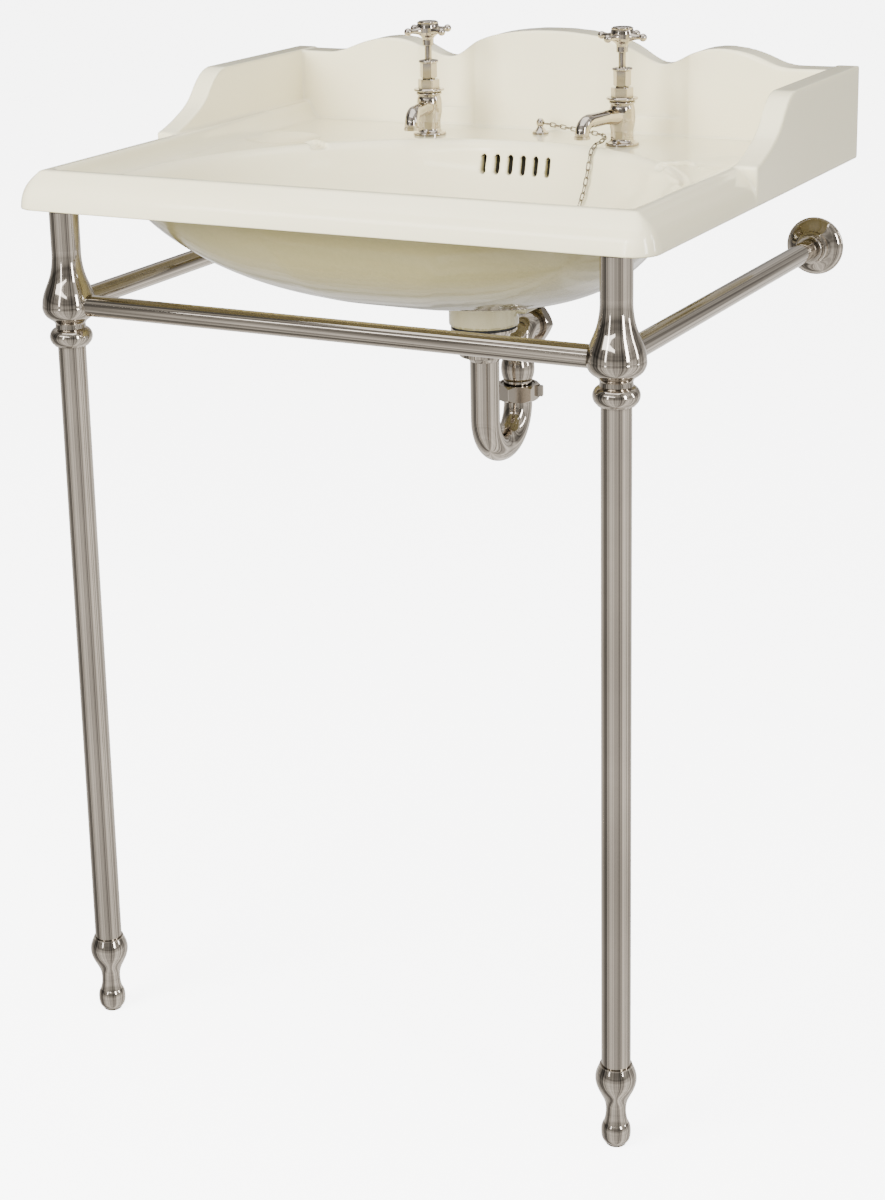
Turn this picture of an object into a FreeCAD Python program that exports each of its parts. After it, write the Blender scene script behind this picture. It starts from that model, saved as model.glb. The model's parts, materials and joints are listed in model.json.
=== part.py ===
"""Console basin on two turned legs, with a pair of pillar taps, a chained plug and an exposed trap.

Millimetres, +Z up. The origin is on the floor under the middle of the basin's plan: +Y points at the
wall, +X to the right of somebody standing in front of the basin. Each function below makes one piece,
or one kind of piece, and the table at the end writes each named piece to its own STEP file.
"""
import FreeCAD
import Part
import math
import os

Vector = FreeCAD.Vector
X_AXIS = Vector(1, 0, 0)
Y_AXIS = Vector(0, 1, 0)
Z_AXIS = Vector(0, 0, 1)

# ---------------------------------------------------------------- driving dimensions
# Basin
BASIN_WIDTH = 686.0            # across the slab's lower edge
BASIN_DEPTH = 575.0            # wall to the slab's lower front edge
UNDERSIDE_Z = 890.0            # flat underside of the slab above the floor
DECK_THICKNESS = 18.0
LIP_HEIGHT = 20.0              # raised edge above the deck
MOULDING_INSET = 23.0          # how far the ogee moulding draws in, from foot to top
LIP_TOP_WIDTH = 9.0
LIP_SLOPE = 12.0               # run of the lip's inner slope down to the deck
SLAB_CORNER_R = 24.0
UPSTAND_THICKNESS = 34.0
UPSTAND_VALLEY_DEPTH = 11.0    # how far the front face falls back behind each tap
UPSTAND_VALLEY_X = 129.0
UPSTAND_VALLEY_HALF = 36.0
WING_THICKNESS = 24.0
WING_LENGTH = 310.0            # wall to the foot of the wing's S-curve
WING_TOP_LENGTH = 200.0
SIDE_TOP_Z = 988.0             # top of the wings and of the upstand's ends
HUMP_RISE = 31.0               # middle of the upstand above its ends
BOWL_WALL = 13.0
BOWL_SQUARENESS = 0.8          # power of the front curve: 1 is an ellipse, less is squarer
WASTE_FROM_WALL = 208.0
WASTE_HOLE_R = 22.0
BOSS_R = 38.0
BOSS_BOTTOM_Z = 724.0
APRON_WIDTH = 400.0            # downstand under the back edge that takes the wall fixings
APRON_DEPTH = 22.0
APRON_DROP = 42.0
WALL_FIXING_SPACING = 280.0
WALL_FIXING_R = 7.0
WALL_FIXING_DROP = 24.0        # below the slab's underside
SLOT_COUNT = 6
SLOT_PITCH = 15.4
SLOT_WIDTH = 5.5
SLOT_HEIGHT = 21.5
SLOT_TOP_Z = 893.0
DUCT_WIDTH = 100.0             # overflow duct cast on the back of the bowl
DUCT_DEPTH = 20.0
DUCT_WALL = 7.0

# Stand
LEG_INSET = 44.0               # leg axis in from the basin's side
LEG_SETBACK = 28.0             # leg axis behind the slab's lower front edge
LEG_TUBE_R = 14.3
LEG_TUBE_WALL = 1.6
FOOT_HEIGHT = 87.0
FOOT_SOCKET_DEPTH = 24.0
RAIL_Z = 792.0
RAIL_R = 11.0
RAIL_WALL = 1.5
RAIL_END_FROM_LEG = 12.5       # end of each rail from the leg's axis, inside the bulb
BULB_R = 27.3
RING_R = 21.8
HEAD_NECK_R = 15.0
SPIGOT_R = 12.4
SPIGOT_LENGTH = 34.0
COLLAR_TOP_DROP = 20.0         # below the rail's axis
COLLAR_HEIGHT = 22.5
COLLAR_SOCKET_DEPTH = 7.0
PAD_THICKNESS = 2.0
FIT_GAP = 0.05                 # radial clearance of a tube or spigot in its socket
GRUB_R = 2.5
GRUB_LENGTH = 7.0
ROSE_R = 31.0
ROSE_DEPTH = 24.0
ROSE_WALL = 1.6
WALL_PLATE_R = 25.0
WALL_PLATE_THICKNESS = 4.0
WALL_SOCKET_R = 13.2
WALL_SOCKET_LENGTH = 13.0
PLATE_SCREW_PCD = 38.0
PLATE_SCREW_HOLE_R = 2.2

# Pillar taps
TAP_SPACING = 232.0
TAP_FROM_WALL = 103.0
TAP_HOLE_R = 14.5
TAP_TAIL_R = 10.48             # half-inch pipe thread, major radius
TAP_TAIL_LENGTH = 62.0         # below the deck
TAP_TAIL_FREE = 28.0           # plain end of the tail for the supply connector, below a relief groove
SPOUT_REACH = 73.0
SPOUT_ANGLE = 12.0             # degrees that each spout turns in towards the bowl
SPOUT_AXIS_H = 33.0            # spout's centre line above the deck
SPOUT_OUTLET_H = 15.6
SPOUT_BORE_R = 3.6
SEAT_H = 26.0                  # valve seat above the deck
SEAT_BORE_R = 5.5
CHAMBER_R = 9.6
BODY_TOP_H = 49.0
BONNET_SPIGOT_DEPTH = 9.0
SPINDLE_R = 4.0
FOOT_R = 6.0                   # threaded foot of the spindle
NECK_R = 7.0                   # threaded neck of the bonnet, under the gland nut
NECK_TOP = 24.0                # above the body
PACKING_HEIGHT = 5.0
RUNNING_GAP = 0.05             # radial clearance of the spindle in its bonnet
SPINDLE_TOP_H = 118.0
HUB_BOTTOM_H = SPINDLE_TOP_H - 19.0
HANDLE_TOP_H = SPINDLE_TOP_H + 8.0
ARM_H = HANDLE_TOP_H - 10.5
ARM_REACH = 26.5               # ball centres from the handle's axis
HANDLE_ANGLES = {"left": 62.0, "right": 78.0}

# Waste, plug and chain
WASTE_FLANGE_R = 33.0
WASTE_FLANGE_T = 3.0
WASTE_TAIL_R = 20.9            # inch-and-a-quarter pipe thread, major radius
WASTE_BORE_R = 16.5
WASTE_TAIL_BOTTOM_Z = 694.0
WASTE_NUT_R = 36.0
WASTE_NUT_HEIGHT = 14.0
PLUG_TOP_R = 20.5
PLUG_HEIGHT = 13.0
CHAIN_WIRE = 1.4
CHAIN_LINK_WIDTH = 5.6
CHAIN_PITCH = 8.3
CHAIN_PLAY = 0.7               # play between two hooked links
STAY_FROM_WALL = 60.0
STAY_HEIGHT = 17.0

# Trap
TRAP_TUBE_R = 16.0
TRAP_WALL = 2.0
TRAP_CENTRES = 83.0            # between the two legs of the U
TRAP_BEND_Z = 617.5            # centre of the U-bend
TRAP_UNION_Z = TRAP_BEND_Z + 11.5
OUTLET_RISE = 68.0             # outlet's axis above the union
OUTLET_Z = TRAP_UNION_Z + OUTLET_RISE
OUTLET_STUB = 50.0             # from the rear leg's axis towards the wall
OUTLET_BEND_R = 20.0

# ---------------------------------------------------------------- derived places
WALL_Y = BASIN_DEPTH / 2
DECK_Z = UNDERSIDE_Z + DECK_THICKNESS
LIP_Z = DECK_Z + LIP_HEIGHT
LEG_X = BASIN_WIDTH / 2 - LEG_INSET
LEG_Y = WALL_Y - BASIN_DEPTH + LEG_SETBACK
TAP_X = TAP_SPACING / 2
TAP_Y = WALL_Y - TAP_FROM_WALL
WASTE_Y = WALL_Y - WASTE_FROM_WALL
STAY_Y = WALL_Y - STAY_FROM_WALL
COLLAR_TOP_Z = RAIL_Z - COLLAR_TOP_DROP
COLLAR_BOTTOM_Z = COLLAR_TOP_Z - COLLAR_HEIGHT
SIDES = {"left": -1, "right": 1}

# Sections of the bowl from the rim down: height, half width, then the distances from the wall of the
# widest line, of the back edge and of the front edge.
BOWL_INSIDE = [
    (DECK_Z + 1.0, 299.0, 430.0, 110.0, 524.0),
    (DECK_Z - 2.0, 291.0, 430.0, 118.0, 515.0),
    (DECK_Z - 10.0, 284.0, 430.0, 121.0, 507.0),
    (DECK_Z - 28.0, 276.0, 428.0, 124.0, 499.0),
    (DECK_Z - 50.0, 262.0, 420.0, 133.0, 488.0),
    (DECK_Z - 74.0, 234.0, 395.0, 146.0, 474.0),
    (DECK_Z - 99.0, 187.0, 345.0, 159.0, 438.0),
    (DECK_Z - 115.0, 133.0, 300.0, 168.0, 386.0),
    (DECK_Z - 123.0, 79.0, 255.0, 175.0, 320.0),
    (DECK_Z - 125.0, 36.0, WASTE_FROM_WALL + 3.0, 180.0, 245.0),
]
BOWL_OUTSIDE = [
    (UNDERSIDE_Z + 6.0, 294.0, 430.0, 104.0, 518.0),
    (UNDERSIDE_Z - 4.0, 290.0, 430.0, 107.0, 514.0),
    (UNDERSIDE_Z - 22.0, 277.0, 424.0, 113.0, 506.0),
    (UNDERSIDE_Z - 46.0, 256.0, 408.0, 124.0, 495.0),
    (UNDERSIDE_Z - 71.0, 225.0, 372.0, 136.0, 479.0),
    (UNDERSIDE_Z - 95.0, 181.0, 325.0, 147.0, 446.0),
    (UNDERSIDE_Z - 111.0, 134.0, 280.0, 156.0, 398.0),
    (UNDERSIDE_Z - 120.0, 77.0, 235.0, 162.0, 310.0),
]
BOWL_FLOOR_Z = BOWL_INSIDE[-1][0]


# ---------------------------------------------------------------- small helpers
def box(x0, x1, y0, y1, z0, z1):
    """Solid box between two opposite corners."""
    return Part.makeBox(x1 - x0, y1 - y0, z1 - z0, Vector(x0, y0, z0))


def cylinder(radius, z0, z1, x=0.0, y=0.0):
    """Upright cylinder from z0 to z1."""
    return Part.makeCylinder(radius, z1 - z0, Vector(x, y, z0), Z_AXIS)


def cylinder_along(axis, radius, length, start):
    """Cylinder of any direction from its start point."""
    return Part.makeCylinder(radius, length, start, axis)


def fuse_all(shapes):
    """One clean solid from shapes that overlap."""
    result = shapes[0]
    for shape in shapes[1:]:
        result = result.fuse(shape)
    return result.removeSplitter()


def cut_all(shape, tools):
    """The shape with each tool cut out of it."""
    for tool in tools:
        shape = shape.cut(tool)
    return shape


def outline_edges(points):
    """Edges through a list of points in the XZ plane.

    A point is (r, z). A pair ("arc", (r, z), (r, z)) is a three-point arc to its second point, and
    ("spline", [(r, z), ...]) is a smooth curve from the last point through the listed ones.
    """
    edges = []
    here = None
    for item in points:
        if item[0] == "arc":
            middle = Vector(item[1][0], 0, item[1][1])
            end = Vector(item[2][0], 0, item[2][1])
            edges.append(Part.Arc(here, middle, end).toShape())
        elif item[0] == "spline":
            through = [here] + [Vector(r, 0, z) for r, z in item[1]]
            curve = Part.BSplineCurve()
            curve.interpolate(through)
            edges.append(curve.toShape())
            end = through[-1]
        else:
            end = Vector(item[0], 0, item[1])
            if here is not None:
                edges.append(Part.LineSegment(here, end).toShape())
        here = end
    return edges


def turned(points, x=0.0, y=0.0, z=0.0):
    """Solid of revolution about an upright axis at (x, y), from a closed outline."""
    edges = outline_edges(points + [points[0]])
    face = Part.Face(Part.Wire(edges))
    solid = face.revolve(Vector(0, 0, 0), Z_AXIS, 360)
    solid.translate(Vector(x, y, z))
    return solid


def hexagon_prism(across_flats, z0, z1, x=0.0, y=0.0, turn=0.0):
    """Upright hexagonal prism."""
    radius = across_flats / 2 / math.cos(math.pi / 6)
    corners = []
    for k in range(7):
        angle = math.radians(turn + 60 * k)
        corners.append(Vector(x + radius * math.cos(angle), y + radius * math.sin(angle), z0))
    return Part.Face(Part.makePolygon(corners)).extrude(Vector(0, 0, z1 - z0))


def hex_nut(across_flats, z0, z1, bore_r, x=0.0, y=0.0, turn=0.0):
    """Hexagonal nut with its corners turned off at both ends."""
    corner_r = across_flats / 2 / math.cos(math.pi / 6)
    chamfer = corner_r - across_flats / 2
    blank = turned([
        (0, z0), (across_flats / 2, z0), (corner_r, z0 + chamfer),
        (corner_r, z1 - chamfer), (across_flats / 2, z1), (0, z1),
    ], x, y)
    nut = hexagon_prism(across_flats, z0, z1, x, y, turn).common(blank)
    return nut.cut(cylinder(bore_r, z0 - 1, z1 + 1, x, y))


def sweep_round(points_and_arcs, radius):
    """Round bar along a path in space, made of lines and three-point arcs."""
    wire = Part.Wire(points_and_arcs)
    first = wire.OrderedEdges[0]
    start = first.valueAt(first.FirstParameter)
    tangent = first.tangentAt(first.FirstParameter)
    circle = Part.Wire(Part.Circle(start, tangent, radius).toShape())
    return wire.makePipeShell([circle], True, False)


def mirrored(shape, side):
    """The right-hand shape, or its mirror image in the YZ plane for the left."""
    if side == "right":
        return shape
    return shape.mirror(Vector(0, 0, 0), X_AXIS)


# ---------------------------------------------------------------- basin
def moulding_outline():
    """Slab's edge in section, as (distance out from the corner's axis, height) points."""
    foot = SLAB_CORNER_R
    return [
        (0, 0), (foot - 1.2, 0), ("arc", (foot - 0.4, 0.4), (foot, 1.2)),
        (foot - 0.2, 3.0), ("arc", (foot - 2.2, 13.6), (foot - 6.5, 22.8)),
        ("arc", (foot - 12.1, 29.4), (foot - 18.6, 35.0)),
        ("arc", (foot - 20.4, 36.9), (foot - MOULDING_INSET, LIP_Z - UNDERSIDE_Z)),
        (0, LIP_Z - UNDERSIDE_Z),
    ]


def moulded_slab():
    """Slab whose moulded edge runs along the front and both sides, and turns round the corners."""
    across = BASIN_WIDTH / 2 - SLAB_CORNER_R
    front = WALL_Y - BASIN_DEPTH + SLAB_CORNER_R
    section = Part.Face(Part.Wire(outline_edges(moulding_outline() + [(0, 0)])))
    right = section.copy()
    right.translate(Vector(across, front, UNDERSIDE_Z))
    right = right.extrude(Vector(0, WALL_Y - front, 0))
    nose = section.copy()
    nose.rotate(Vector(0, 0, 0), Z_AXIS, -90)
    nose.translate(Vector(-across, front, UNDERSIDE_Z))
    nose = nose.extrude(Vector(2 * across, 0, 0))
    corner = turned(moulding_outline(), across, front, UNDERSIDE_Z)
    core = box(-across, across, front, WALL_Y, UNDERSIDE_Z, LIP_Z)
    return fuse_all([core, nose, right, mirrored(right, "left"), corner, mirrored(corner, "left")])


def rounded_rectangle(z, inset, radius):
    """Outline parallel to the slab's edge at one height: square at the wall, rounded in front."""
    half = BASIN_WIDTH / 2 - inset
    front = WALL_Y - BASIN_DEPTH + inset
    k = radius * (1 - math.sqrt(0.5))
    back_right = Vector(half, WALL_Y, z)
    back_left = Vector(-half, WALL_Y, z)
    right_end = Vector(half, front + radius, z)
    front_right = Vector(half - radius, front, z)
    front_left = Vector(-half + radius, front, z)
    left_end = Vector(-half, front + radius, z)
    return Part.Wire([
        Part.LineSegment(back_left, back_right).toShape(),
        Part.LineSegment(back_right, right_end).toShape(),
        Part.Arc(right_end, Vector(half - k, front + k, z), front_right).toShape(),
        Part.LineSegment(front_right, front_left).toShape(),
        Part.Arc(front_left, Vector(-half + k, front + k, z), left_end).toShape(),
        Part.LineSegment(left_end, back_left).toShape(),
    ])


def deck_recess():
    """Space above the deck, inside the raised lip, with a sloped and eased edge."""
    top_inset = MOULDING_INSET + LIP_TOP_WIDTH
    steps = [(0.0, 1.0), (0.12, 0.72), (0.45, 0.34), (0.85, 0.08), (1.001, -0.10)]
    wires = [
        rounded_rectangle(DECK_Z + LIP_HEIGHT * up, top_inset + LIP_SLOPE * across, 7.0)
        for up, across in steps
    ]
    return Part.makeLoft(wires, True, True)


def bowl_half_curve(section):
    """Right half of the bowl's outline at one height: an ellipse behind, a squarer curve in front."""
    z, half, middle, back, front = section
    steps = 10
    points = [Vector(0, WALL_Y - back, z)]
    for k in range(1, steps):
        angle = math.pi / 2 - math.pi * k / steps
        c, s = math.cos(angle), math.sin(angle)
        power = 1.0 if s > 0 else BOWL_SQUARENESS
        reach = middle - back if s > 0 else front - middle
        y = WALL_Y - middle + reach * math.copysign(abs(s) ** power, s)
        points.append(Vector(half * c ** power, y, z))
    points.append(Vector(0, WALL_Y - front, z))
    curve = Part.BSplineCurve()
    curve.interpolate(
        Points=points, Parameters=[float(k) for k in range(steps + 1)],
        InitialTangent=X_AXIS * half, FinalTangent=X_AXIS * -half,
    )
    return curve


def bowl_solid(sections):
    """Solid bowl: a smooth surface drawn over the sections, its mirror image and two flat caps."""
    curves = [bowl_half_curve(section) for section in sections]
    net = [list(row) for row in zip(*[curve.getPoles() for curve in curves])]
    spans = len(curves) - 3
    surface = Part.BSplineSurface()
    surface.buildFromPolesMultsKnots(
        net, curves[0].getMultiplicities(), [4] + [1] * (spans - 1) + [4],
        curves[0].getKnots(), [float(k) for k in range(spans + 1)],
        False, False, curves[0].Degree, 3,
    )
    right = surface.toShape()
    caps = []
    for z in (sections[0][0], sections[-1][0]):
        rim = [e for e in right.Edges if e.BoundBox.ZLength < 0.01 and abs(e.BoundBox.ZMin - z) < 0.01]
        caps.append(Part.Face(Part.Wire([rim[0], mirrored(rim[0], "left")])))
    shell = Part.makeShell([right.Faces[0], mirrored(right, "left").Faces[0]] + caps)
    shell.sewShape()
    solid = Part.Solid(shell)
    if solid.Volume < 0:
        solid.reverse()
    return solid


def upstand():
    """Splashback: a scalloped silhouette whose front face falls back in a valley behind each tap."""
    half = BASIN_WIDTH / 2
    front = WALL_Y - UPSTAND_THICKNESS
    deep = front + UPSTAND_VALLEY_DEPTH
    low, high = DECK_Z - 2.0, SIDE_TOP_Z + 2 * HUMP_RISE
    valley_out = UPSTAND_VALLEY_X + UPSTAND_VALLEY_HALF
    valley_in = UPSTAND_VALLEY_X - UPSTAND_VALLEY_HALF
    corner = [Vector(half, WALL_Y, low), Vector(half, front, low)]
    right = [
        Part.LineSegment(corner[0], corner[1]).toShape(),
        Part.LineSegment(corner[1], Vector(valley_out, front, low)).toShape(),
        Part.Arc(Vector(valley_out, front, low), Vector(UPSTAND_VALLEY_X, deep, low),
                 Vector(valley_in, front, low)).toShape(),
    ]
    middle = Part.Arc(Vector(valley_in, front, low), Vector(0, front - 3.0, low),
                      Vector(-valley_in, front, low)).toShape()
    left = [edge.mirror(Vector(0, 0, 0), X_AXIS) for edge in reversed(right)]
    back = Part.LineSegment(Vector(-half, WALL_Y, low), corner[0]).toShape()
    plan = Part.Face(Part.Wire(Part.__sortEdges__(right + [middle] + left + [back])))
    body = plan.extrude(Vector(0, 0, high - low))

    # Top line of the right half, from the middle out: a wide hump, a dip, a side hump, a flat end.
    top = [
        (0.0, 1.0), (0.146, 0.887), (0.286, 0.403), (0.376, -0.097), (0.481, 0.323),
        (0.595, 0.548), (0.714, 0.274), (0.828, -0.048),
    ]
    top = [(half * across, SIDE_TOP_Z + HUMP_RISE * up) for across, up in top]
    run = [Vector(-x, 0, z) for x, z in reversed(top[1:])] + [Vector(x, 0, z) for x, z in top]
    curve = Part.BSplineCurve()
    curve.interpolate(run, InitialTangent=X_AXIS, FinalTangent=X_AXIS)
    left_end = Vector(-half, 0, SIDE_TOP_Z - 1.0)
    right_end = Vector(half, 0, SIDE_TOP_Z - 1.0)
    outline = Part.Wire([
        Part.LineSegment(Vector(-half, 0, low), left_end).toShape(),
        Part.LineSegment(left_end, run[0]).toShape(),
        curve.toShape(),
        Part.LineSegment(run[-1], right_end).toShape(),
        Part.LineSegment(right_end, Vector(half, 0, low)).toShape(),
        Part.LineSegment(Vector(half, 0, low), Vector(-half, 0, low)).toShape(),
    ])
    face = Part.Face(outline)
    face.translate(Vector(0, WALL_Y - 80.0, 0))
    return body.common(face.extrude(Vector(0, 90.0, 0)))


def wing(side):
    """Side wing with an S-curved front edge; its outer face drops plain to the slab's foot."""
    outer = BASIN_WIDTH / 2
    foot_z = LIP_Z + 1.0
    run = WING_LENGTH - WING_TOP_LENGTH
    rise = SIDE_TOP_Z - foot_z
    shares = [
        (0.0, 0.0), (0.118, 0.059), (0.364, 0.237), (0.573, 0.466), (0.709, 0.737), (0.836, 0.924),
        (1.0, 1.0),
    ]
    points = [Vector(outer, WALL_Y - WING_LENGTH + run * a, foot_z + rise * b) for a, b in shares]
    curve = Part.BSplineCurve()
    curve.interpolate(points)
    corners = [
        points[-1], Vector(outer, WALL_Y, SIDE_TOP_Z), Vector(outer, WALL_Y, UNDERSIDE_Z),
        Vector(outer, WALL_Y - WING_LENGTH, UNDERSIDE_Z), points[0],
    ]
    edges = [Part.LineSegment(a, b).toShape() for a, b in zip(corners[:-1], corners[1:])]
    face = Part.Face(Part.Wire(edges + [curve.toShape()]))
    return mirrored(face.extrude(Vector(-WING_THICKNESS, 0, 0)), side)


def overflow_duct():
    """Duct on the back of the bowl, from the slots down into the waste boss: casting and passage."""
    half = DUCT_WIDTH / 2
    back_top = WALL_Y - 96.0
    back_low = WALL_Y - 128.0
    boss_y = WASTE_Y
    outer = [
        (back_top, UNDERSIDE_Z + 2.0), (back_top, UNDERSIDE_Z - 40.0), (back_low, BOSS_BOTTOM_Z + 28.0),
        (back_low - 20.0, BOSS_BOTTOM_Z + 14.0), (boss_y, BOSS_BOTTOM_Z + 14.0),
        (boss_y, BOWL_FLOOR_Z - BOWL_WALL + 2.0), (WALL_Y - 175.0, UNDERSIDE_Z - 112.0),
        (WALL_Y - 150.0, UNDERSIDE_Z - 66.0), (WALL_Y - 134.0, UNDERSIDE_Z + 2.0),
    ]
    corners = [Vector(-half, y, z) for y, z in outer]
    casting = Part.Face(Part.makePolygon(corners + [corners[0]])).extrude(Vector(DUCT_WIDTH, 0, 0))
    gap = DUCT_WALL
    inner = [
        (back_top - gap, SLOT_TOP_Z + 1.5), (back_top - gap, UNDERSIDE_Z - 41.0),
        (back_low - gap, BOSS_BOTTOM_Z + 31.0), (back_low - 22.0, BOSS_BOTTOM_Z + 22.0),
        (boss_y + WASTE_HOLE_R - 4.0, BOSS_BOTTOM_Z + 22.0),
        (boss_y + WASTE_HOLE_R - 4.0, BOSS_BOTTOM_Z + 32.0),
        (WALL_Y - 162.0, BOSS_BOTTOM_Z + 34.0), (WALL_Y - 146.0, UNDERSIDE_Z - 108.0),
        (WALL_Y - 125.0, UNDERSIDE_Z - 34.0), (WALL_Y - 113.0, SLOT_TOP_Z + 1.5),
    ]
    inner_half = half - DUCT_WALL
    corners = [Vector(-inner_half, y, z) for y, z in inner]
    polygon = Part.makePolygon(corners + [corners[0]])
    passage = Part.Face(polygon).extrude(Vector(2 * inner_half, 0, 0))
    return casting, passage


def overflow_slots():
    """Round-ended slots through the back of the bowl into the duct."""
    slots = []
    r = SLOT_WIDTH / 2
    y0 = WALL_Y - 160.0
    length = 160.0 - 106.0
    for k in range(SLOT_COUNT):
        x = (k - (SLOT_COUNT - 1) / 2) * SLOT_PITCH
        top = SLOT_TOP_Z - r
        bottom = SLOT_TOP_Z - SLOT_HEIGHT + r
        slots.append(box(x - r, x + r, y0, y0 + length, bottom, top))
        slots.append(cylinder_along(Y_AXIS, r, length, Vector(x, y0, top)))
        slots.append(cylinder_along(Y_AXIS, r, length, Vector(x, y0, bottom)))
    return slots


def soap_recess(side):
    """Shallow soap dish in the deck's back corner, drained by a notch into the bowl."""
    x = 262.0
    y = WALL_Y - 178.0
    dish = Part.makeSphere(150.0, Vector(x, y, DECK_Z + 150.0 - 6.0))
    dish = dish.common(box(x - 60, x + 48, y - 40, y + 44, DECK_Z - 7.0, DECK_Z + 0.02))
    notch = box(-9.0, 9.0, -46.0, 8.0, DECK_Z - 6.5, DECK_Z + 2.0)
    notch.rotate(Vector(0, 0, 0), Z_AXIS, -52.0)
    notch.translate(Vector(x - 38.0, y - 8.0, 0))
    return [mirrored(dish, side), mirrored(notch, side)]


def basin():
    """One-piece ceramic basin with upstand, wings, bowl, waste boss and overflow."""
    slab = moulded_slab().cut(deck_recess())
    back = box(-BASIN_WIDTH / 2 + 20, BASIN_WIDTH / 2 - 20, WALL_Y - 30, WALL_Y, UNDERSIDE_Z, LIP_Z)
    casting, passage = overflow_duct()
    apron = box(-APRON_WIDTH / 2, APRON_WIDTH / 2, WALL_Y - APRON_DEPTH, WALL_Y,
                UNDERSIDE_Z - APRON_DROP, UNDERSIDE_Z + 2.0)
    boss = cylinder(BOSS_R, BOSS_BOTTOM_Z, BOWL_FLOOR_Z - 2.0, 0, WASTE_Y)
    body = fuse_all([
        slab, back, upstand(), wing("left"), wing("right"), bowl_solid(BOWL_OUTSIDE), casting, boss, apron,
    ])
    cuts = [bowl_solid(BOWL_INSIDE), passage]
    cuts += overflow_slots()
    for side in SIDES:
        cuts += soap_recess(side)
        x = SIDES[side] * TAP_X
        cuts.append(cylinder(TAP_HOLE_R, UNDERSIDE_Z - 5, DECK_Z + 5, x, TAP_Y))
        start_y = WALL_Y - APRON_DEPTH - 10.0
        fixing = Vector(SIDES[side] * WALL_FIXING_SPACING / 2, start_y, UNDERSIDE_Z - WALL_FIXING_DROP)
        cuts.append(cylinder_along(Y_AXIS, WALL_FIXING_R, APRON_DEPTH + 20.0, fixing))
    cuts.append(cylinder(5.0, UNDERSIDE_Z - 5, DECK_Z + 5, 0, STAY_Y))
    cuts.append(cylinder(WASTE_HOLE_R, BOSS_BOTTOM_Z - 5, BOWL_FLOOR_Z + 5, 0, WASTE_Y))
    seat_r = WASTE_FLANGE_R + 0.5
    cuts.append(cylinder(seat_r, BOWL_FLOOR_Z - WASTE_FLANGE_T - 1.0, BOWL_FLOOR_Z + 8, 0, WASTE_Y))
    return cut_all(body, cuts)


# ---------------------------------------------------------------- stand
def leg_head():
    """Turned head: long neck, bulb with sockets for two rails, spigot for the collar and tube."""
    top = UNDERSIDE_Z - PAD_THICKNESS - RAIL_Z
    spigot_end = -COLLAR_TOP_DROP - SPIGOT_LENGTH
    head = turned([
        (0, top), (HEAD_NECK_R - 0.8, top), (HEAD_NECK_R, top - 0.8), (HEAD_NECK_R, 56),
        ("spline", [(16.0, 39), (18.9, 27), (23.4, 16), (26.4, 7), (BULB_R, 0)]),
        ("spline", [(26.3, -8), (22.6, -13), (17.6, -16.6), (HEAD_NECK_R + 0.4, -COLLAR_TOP_DROP)]),
        (SPIGOT_R, -COLLAR_TOP_DROP), (SPIGOT_R, spigot_end + 1), (SPIGOT_R - 1, spigot_end),
        (0, spigot_end),
    ], LEG_X, LEG_Y, RAIL_Z)
    start = RAIL_END_FROM_LEG - 0.3
    reach = BULB_R + 5
    socket_r = RAIL_R + FIT_GAP
    sockets = [
        cylinder_along(-X_AXIS, socket_r, reach, Vector(LEG_X - start, LEG_Y, RAIL_Z)),
        cylinder_along(Y_AXIS, socket_r, reach, Vector(LEG_X, LEG_Y + start, RAIL_Z)),
    ]
    for place, direction in grub_places():
        sockets.append(cylinder_along(direction, GRUB_R + FIT_GAP, reach, place))
    return cut_all(head, sockets)


def grub_places():
    """Tip and outward direction of the two grub screws in the right leg's bulb."""
    tip = RAIL_R + 0.03
    along = (RAIL_END_FROM_LEG + BULB_R) / 2 - 1.5
    return [
        (Vector(LEG_X + tip, LEG_Y + along, RAIL_Z), X_AXIS),
        (Vector(LEG_X - along, LEG_Y + tip, RAIL_Z), Y_AXIS),
    ]


def grub_screws():
    """Four socket set screws that lock the rails in the bulbs."""
    screws = []
    for place, direction in grub_places():
        screw = turned([
            (0, 0), (GRUB_R - 0.7, 0), (GRUB_R, 0.7), (GRUB_R, GRUB_LENGTH - 0.4),
            (GRUB_R - 0.4, GRUB_LENGTH), (0, GRUB_LENGTH),
        ])
        screw = screw.cut(hexagon_prism(2.5, GRUB_LENGTH - 3.0, GRUB_LENGTH + 1))
        screw.rotate(Vector(0, 0, 0), Z_AXIS.cross(direction), 90)
        screw.translate(place)
        for side in SIDES:
            screws.append(mirrored(screw, side))
    return Part.makeCompound(screws)


def leg_collar():
    """Loose ring with a rounded waist that covers the joint between head and tube."""
    bottom = -COLLAR_HEIGHT
    seat = bottom + COLLAR_SOCKET_DEPTH
    return turned([
        (SPIGOT_R + FIT_GAP, 0), (HEAD_NECK_R + 0.2, 0), (HEAD_NECK_R + 0.6, -4.2), (18.0, -5.6),
        ("spline", [(20.6, -8.6), (RING_R, -13.4), (20.6, -18.2), (18.4, -21.0)]),
        (17.2, bottom), (LEG_TUBE_R + FIT_GAP, bottom), (LEG_TUBE_R + FIT_GAP, seat),
        (SPIGOT_R + FIT_GAP, seat),
    ], LEG_X, LEG_Y, COLLAR_TOP_Z)


def leg_tube():
    """Plain tube between the collar and the foot."""
    bottom = FOOT_HEIGHT - FOOT_SOCKET_DEPTH
    top = COLLAR_BOTTOM_Z + COLLAR_SOCKET_DEPTH
    tube = cylinder(LEG_TUBE_R, bottom, top, LEG_X, LEG_Y)
    return tube.cut(cylinder(LEG_TUBE_R - LEG_TUBE_WALL, bottom - 1, top + 1, LEG_X, LEG_Y))


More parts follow.
